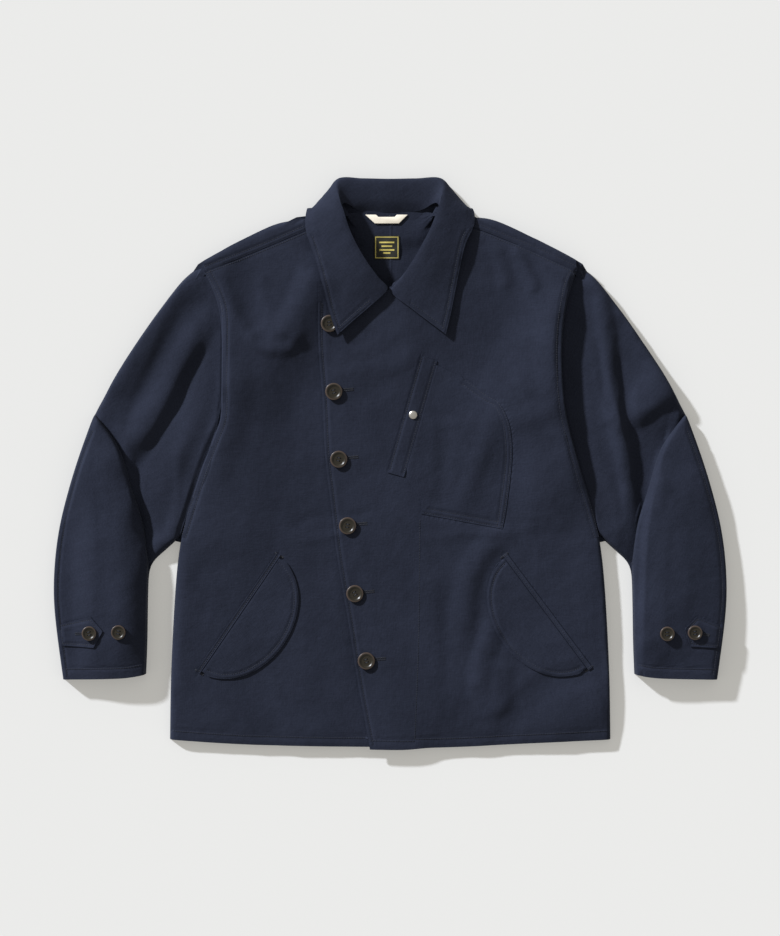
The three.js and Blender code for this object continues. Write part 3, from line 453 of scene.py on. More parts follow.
def select_diagonals(mesh):
    """Selects the edges that are the longest of both of their triangles."""
    lengths = [(mesh.vertices[a].co - mesh.vertices[b].co).length for a, b in mesh.edge_keys]
    index = {key: k for k, key in enumerate(mesh.edge_keys)}
    longest = {}
    normals = {}
    for face in mesh.polygons:
        keys = [index[key] for key in face.edge_keys]
        best = max(keys, key=lambda k: lengths[k])
        longest[best] = longest.get(best, 0) + 1
        normals.setdefault(best, []).append(face.normal.copy())
    for k, count in longest.items():
        flat = count == 2 and normals[k][0].angle(normals[k][1], 0) < math.radians(50)
        if flat:
            mesh.edges[k].select = True


def points_of(obj):
    """The vertices of a piece as an array, in metres."""
    places = np.empty(len(obj.data.vertices) * 3)
    obj.data.vertices.foreach_get("co", places)
    return places.reshape(-1, 3)


def move_points(obj, places):
    """Gives the vertices of a piece new places."""
    obj.data.vertices.foreach_set("co", places.ravel())
    obj.data.update()


def store_number(obj, name, values):
    """Stores a number for each vertex of a piece, which its material reads."""
    layer = obj.data.attributes.new(name, "FLOAT", "POINT")
    layer.data.foreach_set("value", np.asarray(values, float))


def plan_of(places):
    """The plan places of vertices in the tables' millimetres."""
    return np.column_stack([places[:, 0] / MM, places[:, 1] / MM + HEM_Y])


def slack(xy, seed, size, height):
    """Uneven soft waves of the cloth, in mm."""
    offset = Vector((seed * 7.3, seed * 3.1, seed * 1.7))
    waves = [noise.fractal(Vector((x / size, y / size, 0)) + offset, 1.0, 2.1, 3) for x, y in xy]
    return height * np.array(waves)


def settled(height, room):
    """Heights whose hollows level out before they reach what lies below."""
    return np.where(height < 0, -room * (1 - np.exp(np.minimum(height, 0) / room)), height)


def body_field(xy):
    """What the folds add to the fronts and all that lies on them, in mm."""
    height = fold_height(BODY_FOLDS, xy) + slack(xy, 1, 70, 1.0) + slack(xy, 2, 24, 0.3)
    for side in SIDES:
        seam = drawn(mirrored(SIDE_SEAM, side), 10)
        for line, reach in ((drawn(ARMHOLES[side], 6), 5), (seam, 14), (drawn(SHOULDER_SEAMS[side], 6), 9)):
            height *= smooth(0, reach, np.abs(from_line(line, xy)[0]))
    return settled(height, 3)


def sleeve_field(side):
    """What the folds add to a top sleeve and its tab, in mm."""
    def height(xy):
        total = fold_height(SLEEVE_FOLDS[side], xy) + slack(xy, 3, 60, 0.8) + slack(xy, 4, 22, 0.3)
        total *= smooth(1, 8, np.abs(from_line(drawn(ARMHOLES[side], 6), xy)[0]))
        outer = drawn(mirrored(FOREARM_OUTER, side), 8)
        return settled(total * smooth(0, 12, np.abs(from_line(outer, xy)[0])), 2.4)
    return height


def collar_field(xy):
    """The collar's leaves take the folds of the fronts that they lie on, and sag towards their tips."""
    sag = np.where(xy[:, 0] > 0, COLLAR_SAG["left"], COLLAR_SAG["right"]) * smooth(690, 600, xy[:, 1])
    return body_field(xy) * smooth(715, 690, xy[:, 1]) + slack(xy, 5, 40, 0.5) - sag


FIELDS = {
    "body": body_field,
    "right": sleeve_field("right"),
    "left": sleeve_field("left"),
    "collar": collar_field,
}


def lofted(z, y=None):
    """What the air in the jacket adds at a CAD height. In a sleeve, it is more from y down to the cuff."""
    full = LOFT if y is None else LOFT + CUFF_LOFT * smooth(340, 150, y)
    return full * MM * smooth(LOFT_FROM * MM, LOFT_TO * MM, z)


def raise_cloth(obj, kind):
    """Moves the vertices of a cloth piece up or down by its folds."""
    places = points_of(obj)
    xy = plan_of(places)
    lift = lofted(places[:, 2], xy[:, 1] if kind in SIDES else None)
    if kind in FIELDS:
        lift = lift + FIELDS[kind](xy) * MM
    places[:, 2] = np.maximum(places[:, 2] + lift, 0)
    move_points(obj, places)


def lay_flat(obj, node):
    """Lays a sewn-on piece evenly on the finished cloth below it."""
    nodes, thick, off = SEWN_ON[node]
    tree = top_of([bpy.data.objects["cloth_" + name] for name in nodes])
    places = points_of(obj)
    up = np.array([v.normal.z for v in obj.data.vertices])
    for k, (x, y) in enumerate(plan_of(places)):
        hit = on_top(tree, x, y)
        if hit is not None:
            places[k, 2] = hit.z + (off + thick * (0.5 + 0.5 * up[k]) - SUNK) * MM
    move_points(obj, places)


def square_corners(obj):
    """Pulls the back corners of the collar's top edge out to a crisper turn."""
    places = points_of(obj)
    xy = plan_of(places)
    for x, y, out_x, out_y in COLLAR_CORNERS:
        far = np.hypot(xy[:, 0] - x, xy[:, 1] - y)
        pull = np.clip(1 - (far / CORNER_REACH) ** 2, 0, 1) ** 2
        places[:, 0] += pull * out_x * MM
        places[:, 1] += pull * out_y * MM
    move_points(obj, places)


def tuck_patch(obj):
    """Slides the chest patch's mouth under the band."""
    places = points_of(obj)
    far, share = from_line(spaced(PATCH_MOUTH, 6), plan_of(places))
    pull = smooth(30, 4, np.abs(far)) * smooth(0, 0.06, share) * smooth(1, 0.94, share)
    places[:, 0] -= pull * 4 * MM
    places[:, 1] += pull * 1.2 * MM
    move_points(obj, places)


RESHAPED = {"collar": square_corners, "chest_pocket_patch": tuck_patch}


def grain_map(obj, degrees):
    """A UV map in metres along the cloth's grain."""
    turn = math.radians(degrees)
    across = np.array([math.cos(turn), math.sin(turn)])
    along = np.array([-math.sin(turn), math.cos(turn)])
    places = points_of(obj)
    corners = np.empty(len(obj.data.loops), int)
    obj.data.loops.foreach_get("vertex_index", corners)
    flat = places[corners][:, :2]
    layer = obj.data.uv_layers.new(name=GRAIN)
    layer.data.foreach_set("uv", np.column_stack([flat @ across, flat @ along]).ravel())


def sewn_lines():
    """Every line of topstitching in plan: its name and its points in mm."""
    lines = []

    def line(name, pts):
        lines.append((name, pts))

    line("placket", part_of(beside(drawn(PLACKET), -6), 0.01, 0.93))
    for side, sign in SIDES.items():
        armhole, shoulder = drawn(ARMHOLES[side]), drawn(SHOULDER_SEAMS[side])
        for off in (2.2, 8.2):
            line("armhole", beside(armhole, off * sign))
        for off in (2.2, -7):
            line("shoulder", beside(shoulder, off * sign))
        line("cuff", beside(drawn(mirrored(CUFF, side)), -14 * sign))
        outer = drawn(mirrored(FOREARM_OUTER, side))
        line("sleeve_seam", part_of(beside(outer, -8.5 * sign), 0.06, 0.99))
        edge, front = drawn(COLLAR_EDGE[side][:3]), drawn(COLLAR_EDGE[side][2:])
        line("collar", part_of(beside(edge, 6 * sign), 0.02, 0.93))
        line("collar", part_of(beside(front, 6 * sign), 0.04, 0.92))
        line("flap", flap_arc(POCKETS[side], 6.5, 0.96))
        line("welt", flap_line(POCKETS[side], -3.2, 3))
    for edge in (HEM, HEM_OVER[2:], HEM_OVER[:2]):
        line("hem", beside(drawn(edge), 12))
    rim, low = drawn(PATCH_RIM[:9]), drawn(PATCH_RIM[8:11])
    line("patch", beside(rim, -2))
    line("patch", beside(rim, -8))
    line("patch", part_of(beside(low, -2), 0.02, 0.98))
    line("patch", part_of(beside(low, -8), 0.06, 0.94))
    for off in (-9.5, 9.5):
        line("band", part_of(beside(drawn(BAND_MIDDLE), off), 0.02, 0.98))
    for tab in CUFF_TABS.values():
        line("tab", tab_line(tab, 1))
        line("tab", tab_line(tab, -1))
    line("facing", drawn(FACING))
    return lines


def ridge_lines():
    """The ridges that doubled cloth makes along the sewing: name, points, width and height in mm."""
    found = []

    def ridge(name, pts, width, height):
        found.append((name, pts, width, height))

    for side, sign in SIDES.items():
        ridge("armhole", beside(drawn(ARMHOLES[side]), 5.2 * sign), 6.0, 0.4)
        ridge("shoulder", beside(drawn(SHOULDER_SEAMS[side]), -3 * sign), 8, 0.5)
        ridge("cuff", beside(drawn(mirrored(CUFF, side)), -14 * sign), 3.4, 0.16)
        outer = drawn(mirrored(FOREARM_OUTER, side))
        ridge("sleeve", part_of(beside(outer, -6.5 * sign), 0.06, 0.99), 4.4, 0.4)
        for line in (drawn(COLLAR_EDGE[side][:3]), drawn(COLLAR_EDGE[side][2:])):
            ridge("collar", part_of(beside(line, 3.4 * sign), 0.02, 0.95), 5.4, 0.45)
        ridge("flap", flap_arc(POCKETS[side], 3.4, 0.98), 5.6, 0.26)
    ridge("placket", part_of(beside(drawn(PLACKET), -3.2), 0.01, 0.93), 5.6, 0.38)
    for line in (HEM, HEM_OVER[2:], HEM_OVER[:2]):
        ridge("hem", beside(drawn(line), 12), 3.4, 0.14)
    for rim in (PATCH_RIM[:9], PATCH_RIM[8:11]):
        ridge("patch", beside(drawn(rim), -5), 5.4, 0.35)
    ridge("centre_back", drawn([(1, 606), (1, 728)]), 5, 0.45)
    return found


def mouth_of(pocket):
    """The ends of a pocket's straight mouth, the direction down it and the one out over the flap."""
    top, bottom = np.array(pocket["top"]), np.array(pocket["bottom"])
    down = (bottom - top) / np.linalg.norm(bottom - top)
    return top, bottom, down, np.array([-down[1], down[0]]) * pocket["turn"]


def flap_arc(pocket, inset, share):
    """The curved edge of a D flap, moved in by an inset."""
    top, bottom, down, out = mouth_of(pocket)
    half = np.linalg.norm(bottom - top) / 2
    angle = np.linspace(-1, 1, 60) * math.pi / 2 * share
    across = (half - inset) * np.sin(angle)[:, None] * down
    deep = (pocket["depth"] - inset) * np.cos(angle)[:, None] * out
    return spaced((top + bottom) / 2 + across + deep, 2)


def flap_line(pocket, off, past):
    """The straight mouth of a pocket, moved off the flap and run past its ends."""
    top, bottom, down, out = mouth_of(pocket)
    return spaced(np.array([top - down * past, bottom + down * past]) + out * off, 2)


def tab_line(tab, side):
    """A row of stitches along one side of a cuff tab, round to its point."""
    base, point = np.array(tab["base"]), np.array(tab["point"])
    ahead = point - base
    run = np.linalg.norm(ahead)
    ahead /= run
    out = np.array([-ahead[1], ahead[0]]) * side
    rows = [base + out * 12, base + ahead * run * 0.72 + out * 17, base + ahead * (run - 4.5)]
    return spaced(np.array(rows), 2)


class Value:
    """A socket of a material being written, so that its maths reads as Python."""

    def __init__(self, finish, socket):
        self.finish = finish
        self.socket = socket

    def _math(self, operation, *terms, clamp=False):
        settings = {"operation": operation, "use_clamp": clamp}
        return self.finish.node("Math", settings, dict(enumerate(terms)))

    def __add__(self, other):
        return self._math("ADD", self, other)

    def __sub__(self, other):
        return self._math("SUBTRACT", self, other)

    def __rsub__(self, other):
        return self._math("SUBTRACT", other, self)

    def __mul__(self, other):
        return self._math("MULTIPLY", self, other)

    def clamped(self):
        """The value kept between 0 and 1."""
        return self._math("ADD", self, 0.0, clamp=True)

    def between(self, low, high):
        """0 at low, 1 at high and straight between them."""
        return self._math("MULTIPLY", self - low, 1 / (high - low), clamp=True)


class Finish:
    """A material being written for one of the jacket's surfaces."""

    def __init__(self, name):
        self.material = bpy.data.materials.new(name)
        self.material.use_nodes = True
        self.tree = self.material.node_tree
        self.tree.nodes.clear()

    def node(self, kind, settings=None, inputs=None, output=0):
        """Makes a node from its settings and the values or links of its sockets."""
        node = self.tree.nodes.new("ShaderNode" + kind)
        for key, value in (settings or {}).items():
            setattr(node, key, value)
        for key, value in (inputs or {}).items():
            socket = node.inputs[key]
            if isinstance(value, Value):
                self.tree.links.new(value.socket, socket)
            else:
                socket.default_value = value
        return Value(self, node.outputs[output])

    def places(self):
        """Object coordinates."""
        return self.node("TexCoord", output="Object")

    def grain(self):
        """The UV map that follows the cloth's grain."""
        return self.node("UVMap", {"uv_map": GRAIN})

    def attribute(self, name):
        """A number stored on the mesh."""
        return self.node("Attribute", {"attribute_name": name}, output="Fac")

    def noise(self, vector, scale, detail=2.0, rough=0.5):
        """A noise between 0 and 1."""
        sockets = {"Vector": vector, "Scale": scale, "Detail": detail, "Roughness": rough}
        return self.node("TexNoise", {}, sockets, "Fac")

    def bands(self, vector, direction, scale, distortion=0.0, detail=2.0, detail_scale=1.0):
        """Even bands across a direction, between 0 and 1."""
        sockets = {"Vector": vector, "Scale": scale, "Distortion": distortion, "Detail": detail,
                   "Detail Scale": detail_scale}
        return self.node("TexWave", {"wave_type": "BANDS", "bands_direction": direction}, sockets, "Fac")

    def mix(self, factor, first, second):
        """A colour between two colours."""
        return self.node("Mix", {"data_type": "RGBA"}, {0: factor, 6: first, 7: second}, 2)

    def scaled(self, vector, scale, turn=0.0):
        """A vector stretched and turned by a Mapping node."""
        sockets = {"Vector": vector, "Rotation": (0, 0, turn), "Scale": scale}
        return self.node("Mapping", {}, sockets)

    def bump(self, height, distance, strength=1.0, normal=None):
        """A normal from a height between 0 and 1."""
        sockets = {"Height": height, "Distance": distance, "Strength": strength}
        if normal is not None:
            sockets["Normal"] = normal
        return self.node("Bump", {}, sockets)

    def close(self, sockets):
        """Ends the material in a Principled shader."""
        shader = self.node("BsdfPrincipled", {}, sockets, "BSDF")
        output = self.tree.nodes.new("ShaderNodeOutputMaterial")
        self.tree.links.new(shader.socket, output.inputs["Surface"])
        return self.material


def shade(colour, factor):
    """A colour made lighter or darker, as RGBA."""
    return (*(c * factor for c in colour[:3]), 1)


def navy_cotton(look):
    """Dense navy cotton: a fine weave, uneven dye, a soft sheen and rubbed sewn edges."""
    cloth = Finish("navy_cotton")
    grain = cloth.grain()
    across, along = (cloth.bands(grain, way, 260.0, 1.5, 1.0, 3.0) for way in "XY")
    weave = across * 0.5 + along * 0.5
    slub = (cloth.noise(cloth.scaled(grain, (620, 70, 1)), 1.0, 2.0) * 0.5
            + cloth.noise(cloth.scaled(grain, (70, 620, 1)), 1.0, 2.0) * 0.5)
    cloud = cloth.noise(grain, 9.0, 4.0, 0.6)
    fine = cloth.noise(grain, 420.0, 3.0, 0.7)
    near_seam = cloth.attribute("near_seam")
    rub = (near_seam * cloth.noise(grain, 120.0, 3.0, 0.7)).clamped()
    tone = cloud * 0.34 + slub * 0.36 + fine * 0.3
    base = look.cloth_colour
    colour = cloth.mix(tone.between(0.36, 0.64), shade(base, 0.74), shade(base, 1.26))
    colour = cloth.mix((rub * 0.55).clamped(), colour, shade(base, 1.7))
    pucker = cloth.noise(grain, 95.0)
    groove = near_seam * (pucker * 0.6 + 0.4)
    relief = cloth.bump(weave * 0.4 + fine * 0.3 + slub * 0.3, 0.0006, 0.8)
    crumple = cloth.noise(grain, 26.0, 4.0, 0.62)
    relief = cloth.bump(crumple, 0.0035, 0.5, relief)
    relief = cloth.bump(1 - groove, 0.0016, 0.8, relief)
    return cloth.close({
        "Base Color": colour, "Roughness": fine * 0.12 + 0.82, "Normal": relief,
        "Specular IOR Level": 0.05, "Sheen Weight": look.sheen, "Sheen Roughness": 0.45,
        "Sheen Tint": (0.62, 0.68, 0.86, 1),
    })


def dyed_thread(look):
    """Sewing thread, dyed to go with the cloth."""
    thread = Finish("navy_thread")
    twist = thread.noise(thread.places(), 900.0, 2.0)
    base = look.thread_colour
    colour = thread.mix(twist, shade(base, 0.7), shade(base, 1.3))
    return thread.close({
        "Base Color": colour, "Roughness": 0.6, "Normal": thread.bump(twist, 0.0002, 0.5),
        "Specular IOR Level": 0.4,
    })


def dark_horn(look):
    """Dark horn: a polished brown rim round a darker streaked middle."""
    horn = Finish("dark_horn")
    streak = horn.noise(horn.scaled(horn.places(), (60, 240, 60), 0.5), 1.0, 3.0, 0.6)
    rim = horn.attribute("rim")
    middle = horn.mix(streak, shade(look.horn_colour, 0.5), shade(look.horn_colour, 1.3))
    edge = horn.mix(streak, shade(look.rim_colour, 0.75), shade(look.rim_colour, 1.2))
    fine = horn.noise(horn.places(), 700.0, 2.0)
    return horn.close({
        "Base Color": horn.mix(rim, middle, edge), "Roughness": streak * 0.18 + 0.26,
        "Normal": horn.bump(fine, 0.0001, 0.3), "Specular IOR Level": 0.35,
    })


def satin_steel(look):
    """The satin steel of the snap cap."""
    steel = Finish("satin_steel")
    brushed = steel.noise(steel.scaled(steel.places(), (300, 3000, 300)), 1.0, 2.0)
    colour = steel.mix(brushed, shade(look.steel_colour, 0.85), shade(look.steel_colour, 1.05))
    return steel.close({
        "Base Color": colour, "Metallic": 1.0, "Roughness": brushed * 0.12 + 0.3,
        "Normal": steel.bump(brushed, 0.0001, 0.3),
    })


def cream_tape(look):
    """Cream cotton twill tape."""
    tape = Finish("cream_tape")
    twill = tape.bands(tape.places(), "DIAGONAL", 300.0, 1.0)
    soil = tape.noise(tape.places(), 90.0, 3.0)
    colour = tape.mix(soil, shade(look.tape_colour, 0.84), shade(look.tape_colour, 1.04))
    return tape.close({
        "Base Color": colour, "Roughness": 0.85, "Normal": tape.bump(twill, 0.0003, 0.6),
        "Specular IOR Level": 0.2,
    })


def woven_label(look):
    """A black woven label with a plain yellow border and plain bars, and no words."""
    label = Finish("woven_label")
    mark = label.attribute("woven_mark")
    weft = label.bands(label.places(), "Y", 500.0)
    thread = label.noise(label.places(), 1500.0, 2.0)
    ground = label.mix(thread, shade(look.label_ground, 0.5), shade(look.label_ground, 1.5))
    yellow = label.mix(thread, shade(look.label_colour, 0.6), shade(look.label_colour, 1.2))
    return label.close({
        "Base Color": label.mix(mark.clamped(), ground, yellow), "Roughness": 0.75,
        "Normal": label.bump(weft, 0.0002, 0.5), "Specular IOR Level": 0.25,
    })


def colour(name, description, default):
    """A colour that a user may change."""
    return FloatVectorProperty(name=name, description=description, subtype="COLOR", size=3,
                               default=default, min=0, max=1)


def length(name, description, default, low, high):
    """A length that a user may change, in metres."""
    return FloatProperty(name=name, description=description, default=default, min=low, max=high,
                         unit="LENGTH")


class ClothLook(bpy.types.PropertyGroup):
    """Colours of the cloth and thread."""

    cloth_colour: colour("Cloth", "Navy of the cotton", (0.0153, 0.0182, 0.0302))
    thread_colour: colour("Thread", "Colour of the sewing thread", (0.012, 0.014, 0.022))
    sheen: FloatProperty(
        name="Sheen", description="Share of soft light from the cloth's nap", default=0.04,
        min=0, max=1, subtype="FACTOR")


class TrimLook(bpy.types.PropertyGroup):
    """Colours of the buttons, tape, label and snap."""

    horn_colour: colour("Horn", "Dark middle of the buttons", (0.016, 0.013, 0.008))
    rim_colour: colour("Rim", "Lighter rim of the buttons", (0.048, 0.034, 0.027))
    steel_colour: colour("Steel", "Snap cap", (0.55, 0.53, 0.49))
    tape_colour: colour("Tape", "Hanger loop", (0.84, 0.77, 0.65))
    label_colour: colour("Label yellow", "Yellow thread of the label", (0.62, 0.52, 0.14))
    label_ground: colour("Label black", "Ground of the label", (0.020, 0.020, 0.015))


class SewingSize(bpy.types.PropertyGroup):
    """Sizes of the stitches."""

    pitch: length("Pitch", "From one stitch to the next", 0.0033, 0.002, 0.008)
    stitch: length("Stitch", "Length of a stitch that shows", 0.0024, 0.001, 0.006)
    thickness: length("Thread", "Thickness of the thread", 0.0006, 0.0002, 0.002)


class StageLook(bpy.types.PropertyGroup):
    """Strength and direction of the light."""

    sun: FloatProperty(name="Sun", description="Strength of the sun", default=7.2, min=0, max=20)
    sky: FloatProperty(
        name="Sky", description="Strength of the even light", default=0.5, min=0, max=5)
    glow: FloatProperty(
        name="Glow", description="Light that the surface gives off", default=0.262, min=0, max=5)
    height: FloatProperty(
        name="Height", description="The sun's angle above the surface", subtype="ANGLE",
        default=math.radians(23), min=0.1, max=1.5)


_made = {}


def material(key):
    """One of the jacket's materials, made when it is first asked for."""
    scene = bpy.context.scene
    makers = {
        "navy_cloth": (navy_cotton, scene.jacket_cloth),
        "thread": (dyed_thread, scene.jacket_cloth),
        "horn_button": (dark_horn, scene.jacket_trim),
        "steel_snap": (satin_steel, scene.jacket_trim),
        "cream_tape": (cream_tape, scene.jacket_trim),
        "black_label": (woven_label, scene.jacket_trim),
    }
    if key not in _made:
        make, look = makers[key]
        _made[key] = make(look)
    return _made[key]


def settle(obj, slot, *nodes, finish=None):
    """Gives a piece its material and slot, and makes it stand for its CAD nodes."""
    obj.data.materials.clear()
    obj.data.materials.append(material(finish or slot))
    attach(obj, "root")
    if nodes:
        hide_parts(*nodes)
    return obj


def top_of(objects):
    """What a thread laid on these pieces from above lies on."""
    verts, faces = [], []
    for obj in objects:
        start = len(verts)
        verts.extend(v.co.copy() for v in obj.data.vertices)
        faces.extend([start + k for k in face.vertices] for face in obj.data.polygons)
    return BVHTree.FromPolygons(verts, faces)


def pieces(*starts, leave=""):
    """The scene's pieces whose names start in one of these ways, without those that end in another."""
    found = [obj for obj in bpy.data.objects if obj.name.startswith(starts)]
    return [obj for obj in found if not (leave and obj.name.endswith(leave))]


def on_top(tree, x, y):
    """The place of the highest cloth at a point of the tables, or None where there is none."""
    return tree.ray_cast(place(x, y, 0.08), Vector((0, 0, -1)))[0]


def stitch_shape():
    """One stitch, 1 long and 1 thick along X, made once and copied."""
    bpy.ops.object.select_all(action="DESELECT")
    bpy.ops.mesh.primitive_uv_sphere_add(segments=6, ring_count=4, radius=0.5)
    stitch = bpy.context.active_object
    bpy.ops.object.mode_set(mode="EDIT")
    bpy.ops.transform.rotate(value=math.pi / 2, orient_axis="Y", center_override=(0, 0, 0))
    bpy.ops.object.mode_set(mode="OBJECT")
    places = points_of(stitch)
    faces = [tuple(face.vertices) for face in stitch.data.polygons]
    bpy.data.objects.remove(stitch)
    return places, faces


def sew(name, stitches, thickness, piece_of):
    """One mesh of many stitches. A stitch is its two ends in metres."""
    shape, shape_faces = piece_of
    verts, faces = [], []
    for a, b in stitches:
        along = b - a
        length = along.length
        if length < 1e-6:
            continue
        along = along / length
        across = Vector((-along.y, along.x, 0)).normalized()
        up = along.cross(across) * -1
        if up.z < 0:
            up = -up
        start = len(verts)
        middle = (a + b) / 2
        for x, y, z in shape:
            verts.append(middle + along * (x * (length + thickness * 0.6)) + across * (y * thickness)
                         + up * (z * thickness))
        faces.extend(tuple(start + k for k in face) for face in shape_faces)
    thread = mesh_piece(name, verts, faces)
    bpy.ops.object.shade_smooth()
    settle(thread, "navy_cloth", finish="thread")


def make_ridges(below, all_cloth):
    """Lays the ridges of doubled cloth along the sewing, as one strip of cloth for each name."""
    groups = {}
    for name, pts, width, height in ridge_lines():
        tree = all_cloth if name == "collar" else below
        verts, faces = groups.setdefault(name, ([], []))
        line = spaced(pts, 2.5)
        sides = [beside(line, share * width / 2) for share in RIDGE_ACROSS]
        start = len(verts)
        for k in range(len(line)):
            base = [on_top(tree, *row[k]) for row in sides]
            tops = [hit.z if hit is not None else 0 for hit in base]
            pucker = 0.75 + 0.7 * noise.noise(Vector((*(line[k] * 0.16), 2.0)))
            for row, top, rise in zip(sides, tops, RIDGE_RISE):
                level = max(top, max(tops) - 0.0012)
                verts.append(place(*row[k], level + (height * pucker * rise if rise > 0 else rise) * MM))
        across = len(RIDGE_ACROSS)
        for k in range(len(line) - 1):
            for j in range(across - 1):
                a = start + k * across + j
                faces.append((a, a + across, a + across + 1, a + 1))
    for name, (verts, faces) in groups.items():
        ridge = mesh_piece("ridge_" + name, verts, faces)
        turn_faces_out()
        if ridge.data.polygons[0].normal.z < 0:
            ridge.data.flip_normals()
        bpy.ops.object.shade_smooth()
        grain_map(ridge, 0)
        settle(ridge, "navy_cloth")


def make_neck_allowance(tree):
    """Lays the seam allowance that closes the neck seam under the collar's stand."""
    rows = len(NECK_ROWS)
    base = on_top(tree, 0, 716).z
    verts = [place(x, y, base + rise * MM * min(1, 0.3 + abs(x) / 80))
             for x in range(-66, 67, 6) for y, rise in NECK_ROWS]
    faces = [(k, k + rows, k + rows + 1, k + 1) for k in range(len(verts) - rows) if (k + 1) % rows]
    strip = mesh_piece("allowance_neck", verts, faces)
    bpy.ops.object.shade_smooth()
    grain_map(strip, 0)
    settle(strip, "navy_cloth")


def make_side_allowance(tree, side):
    """Lays the seam allowances that close one shoulder point and one underarm."""
    ring = mirrored(SHOULDER_POINT, side)
    middle = np.mean(ring, axis=0)
    top = on_top(tree, 243 * SIDES[side], 650).z - 0.001
    hits = [on_top(tree, x, y) for x, y in ring]
    levels = [min(top, hit.z + 0.0003) if hit is not None else top - 0.003 for hit in hits]
    mean = sum(levels) / len(levels)
    verts = [place(*middle, mean)]
    for share, drop in ((0.6, 0), (1.0, 0), (1.0, 0.009)):
        for at, level in zip(ring, levels):
            height = max(0.0005, mean + (level - mean) * share - drop)
            verts.append(place(*(middle + (at - middle) * share), height))
    count = len(ring)
    faces = [(0, 1 + k, 1 + (k + 1) % count) for k in range(count)]
    for a in (1, 1 + count):
        faces += [(a + k, a + count + k, a + count + (k + 1) % count, a + (k + 1) % count)
                  for k in range(count)]
    line = spaced(mirrored(UNDERARM, side), 5)
    start = len(verts)
    verts += [place(*at, 0.0045) for pair in zip(beside(line, -5), beside(line, 5)) for at in pair]
    faces += [(k, k + 1, k + 3, k + 2) for k in range(start, len(verts) - 3, 2)]
    cover = mesh_piece("allowance_" + side, verts, faces)
    turn_faces_out()
    bpy.ops.object.shade_smooth_by_angle(angle=math.radians(50))
    grain_map(cover, 20)
    settle(cover, "navy_cloth")


def run_of_stitches(tree, pts, pitch, length):
    """The ends of a row of stitches along a plan line, laid on the cloth."""
    line = spaced(pts, pitch / MM)
    steps = np.diff(line, axis=0)
    found = []
    for p, step in zip(line, steps):
        ahead = step / np.linalg.norm(step)
        q = p + ahead * length / MM
        a, b = on_top(tree, *p), on_top(tree, *q)
        if a and b and abs(a.z - b.z) <= STITCH_STEP and min(a.z, b.z) >= SEWN_FROM:
            found.append((a + STITCH_LIFT, b + STITCH_LIFT))
    return found


class JACKET_OT_cloth(bpy.types.Operator):
    """Makes the cloth pieces from their solids, with their folds and grain"""

    bl_idname = "jacket.cloth"
    bl_label = "Cloth pieces"

    def execute(self, context):
        lines = [pts for name, pts in sewn_lines() if name != "facing"]
        for node, level, degrees, kind in CLOTH:
            obj = cloth_copy(node, level)
            if node in RESHAPED:
                RESHAPED[node](obj)
            raise_cloth(obj, kind)
            if node in SEWN_ON:
                lay_flat(obj, node)
            grain_map(obj, degrees)
            store_seams(obj, lines)
            settle(obj, "navy_cloth", node)
        return {"FINISHED"}


def store_seams(obj, lines):
    """Stores how near each vertex is to a line of sewing, from 0 to 1."""
    places = points_of(obj)
    xy = plan_of(places)
    best = np.full(len(xy), 99.0)
    for pts in lines:
        low, high = pts.min(0) - 8, pts.max(0) + 8
        inside = np.all((xy > low) & (xy < high), axis=1)
        if inside.any():
            far, _ = from_line(pts[::3] if len(pts) > 12 else pts, xy[inside])
            best[inside] = np.minimum(best[inside], np.abs(far))
    store_number(obj, "near_seam", np.clip(1 - best / SEAM_REACH, 0, 1))


class JACKET_OT_sewing(bpy.types.Operator):
    """Sews the lines of topstitching, the buttonholes and the bar tacks"""

    bl_idname = "jacket.sewing"
    bl_label = "Sewing"

    def execute(self, context):
        sizes = context.scene.jacket_sewing
        below = top_of(pieces("cloth_", leave="_collar"))
        make_ridges(below, top_of(pieces("cloth_")))
        make_neck_allowance(below)
        for side in SIDES:
            make_side_allowance(below, side)
        tree = top_of(pieces("cloth_", "ridge_"))
        below = top_of(pieces("cloth_", "ridge_", leave="_collar"))
        shape = stitch_shape()
        groups = {}
        for name, pts in sewn_lines():
            bed = tree if name == "collar" else below
            groups.setdefault(name, []).extend(run_of_stitches(bed, pts, sizes.pitch, sizes.stitch))
        for name, stitches in groups.items():
            sew("stitches_" + name, stitches, sizes.thickness, shape)
        sew("buttonholes", buttonhole_stitches(below, tree), 0.0006, shape)
        sew("bar_tacks", bar_tack_stitches(tree), 0.0007, shape)
        return {"FINISHED"}


def buttonhole_stitches(below, tree):
    """The stitches round the slits of the front and cuff buttonholes."""
    found = []
    for x, y in FRONT_BUTTONS:
        found.extend(satin(below, (x + 2, y + 1), (x + 26, y + 3), 4.2))
    for tab in CUFF_TABS.values():
        base, button = np.array(tab["base"]), np.array(tab["button"])
        back = (base - button) / np.linalg.norm(base - button)
        found.extend(satin(tree, button + back * 2, button + back * 20, 3.6))
    return found


def bar_tack_stitches(tree):
    """The stitches of the bar tacks at both ends of each lower pocket's mouth."""
    found = []
    for pocket in POCKETS.values():
        top, bottom, down, out = mouth_of(pocket)
        for at in (top - down * 2, bottom + down * 2):
            found.extend(satin(tree, at - out * 8, at + out * 4, 3.0, solid=True))
    return found


def satin(tree, start, end, width, solid=False):
    """Close stitches across a line: two rows round a slit, or one solid bar."""
    start, end = np.array(start, float), np.array(end, float)
    along = (end - start) / np.linalg.norm(end - start)
    across = np.array([-along[1], along[0]])
    rows = [(-width / 2, width / 2)] if solid else [(-width / 2, -0.35), (0.35, width / 2)]
    found = []
    for p in spaced(np.array([start, end]), 0.75):
        for low, high in rows:
            a, b = (on_top(tree, *(p + across * off)) for off in (low, high))
            if a and b and abs(a.z - b.z) < SATIN_STEP:
                found.append((a + SATIN_LIFT, b + SATIN_LIFT))
    return found


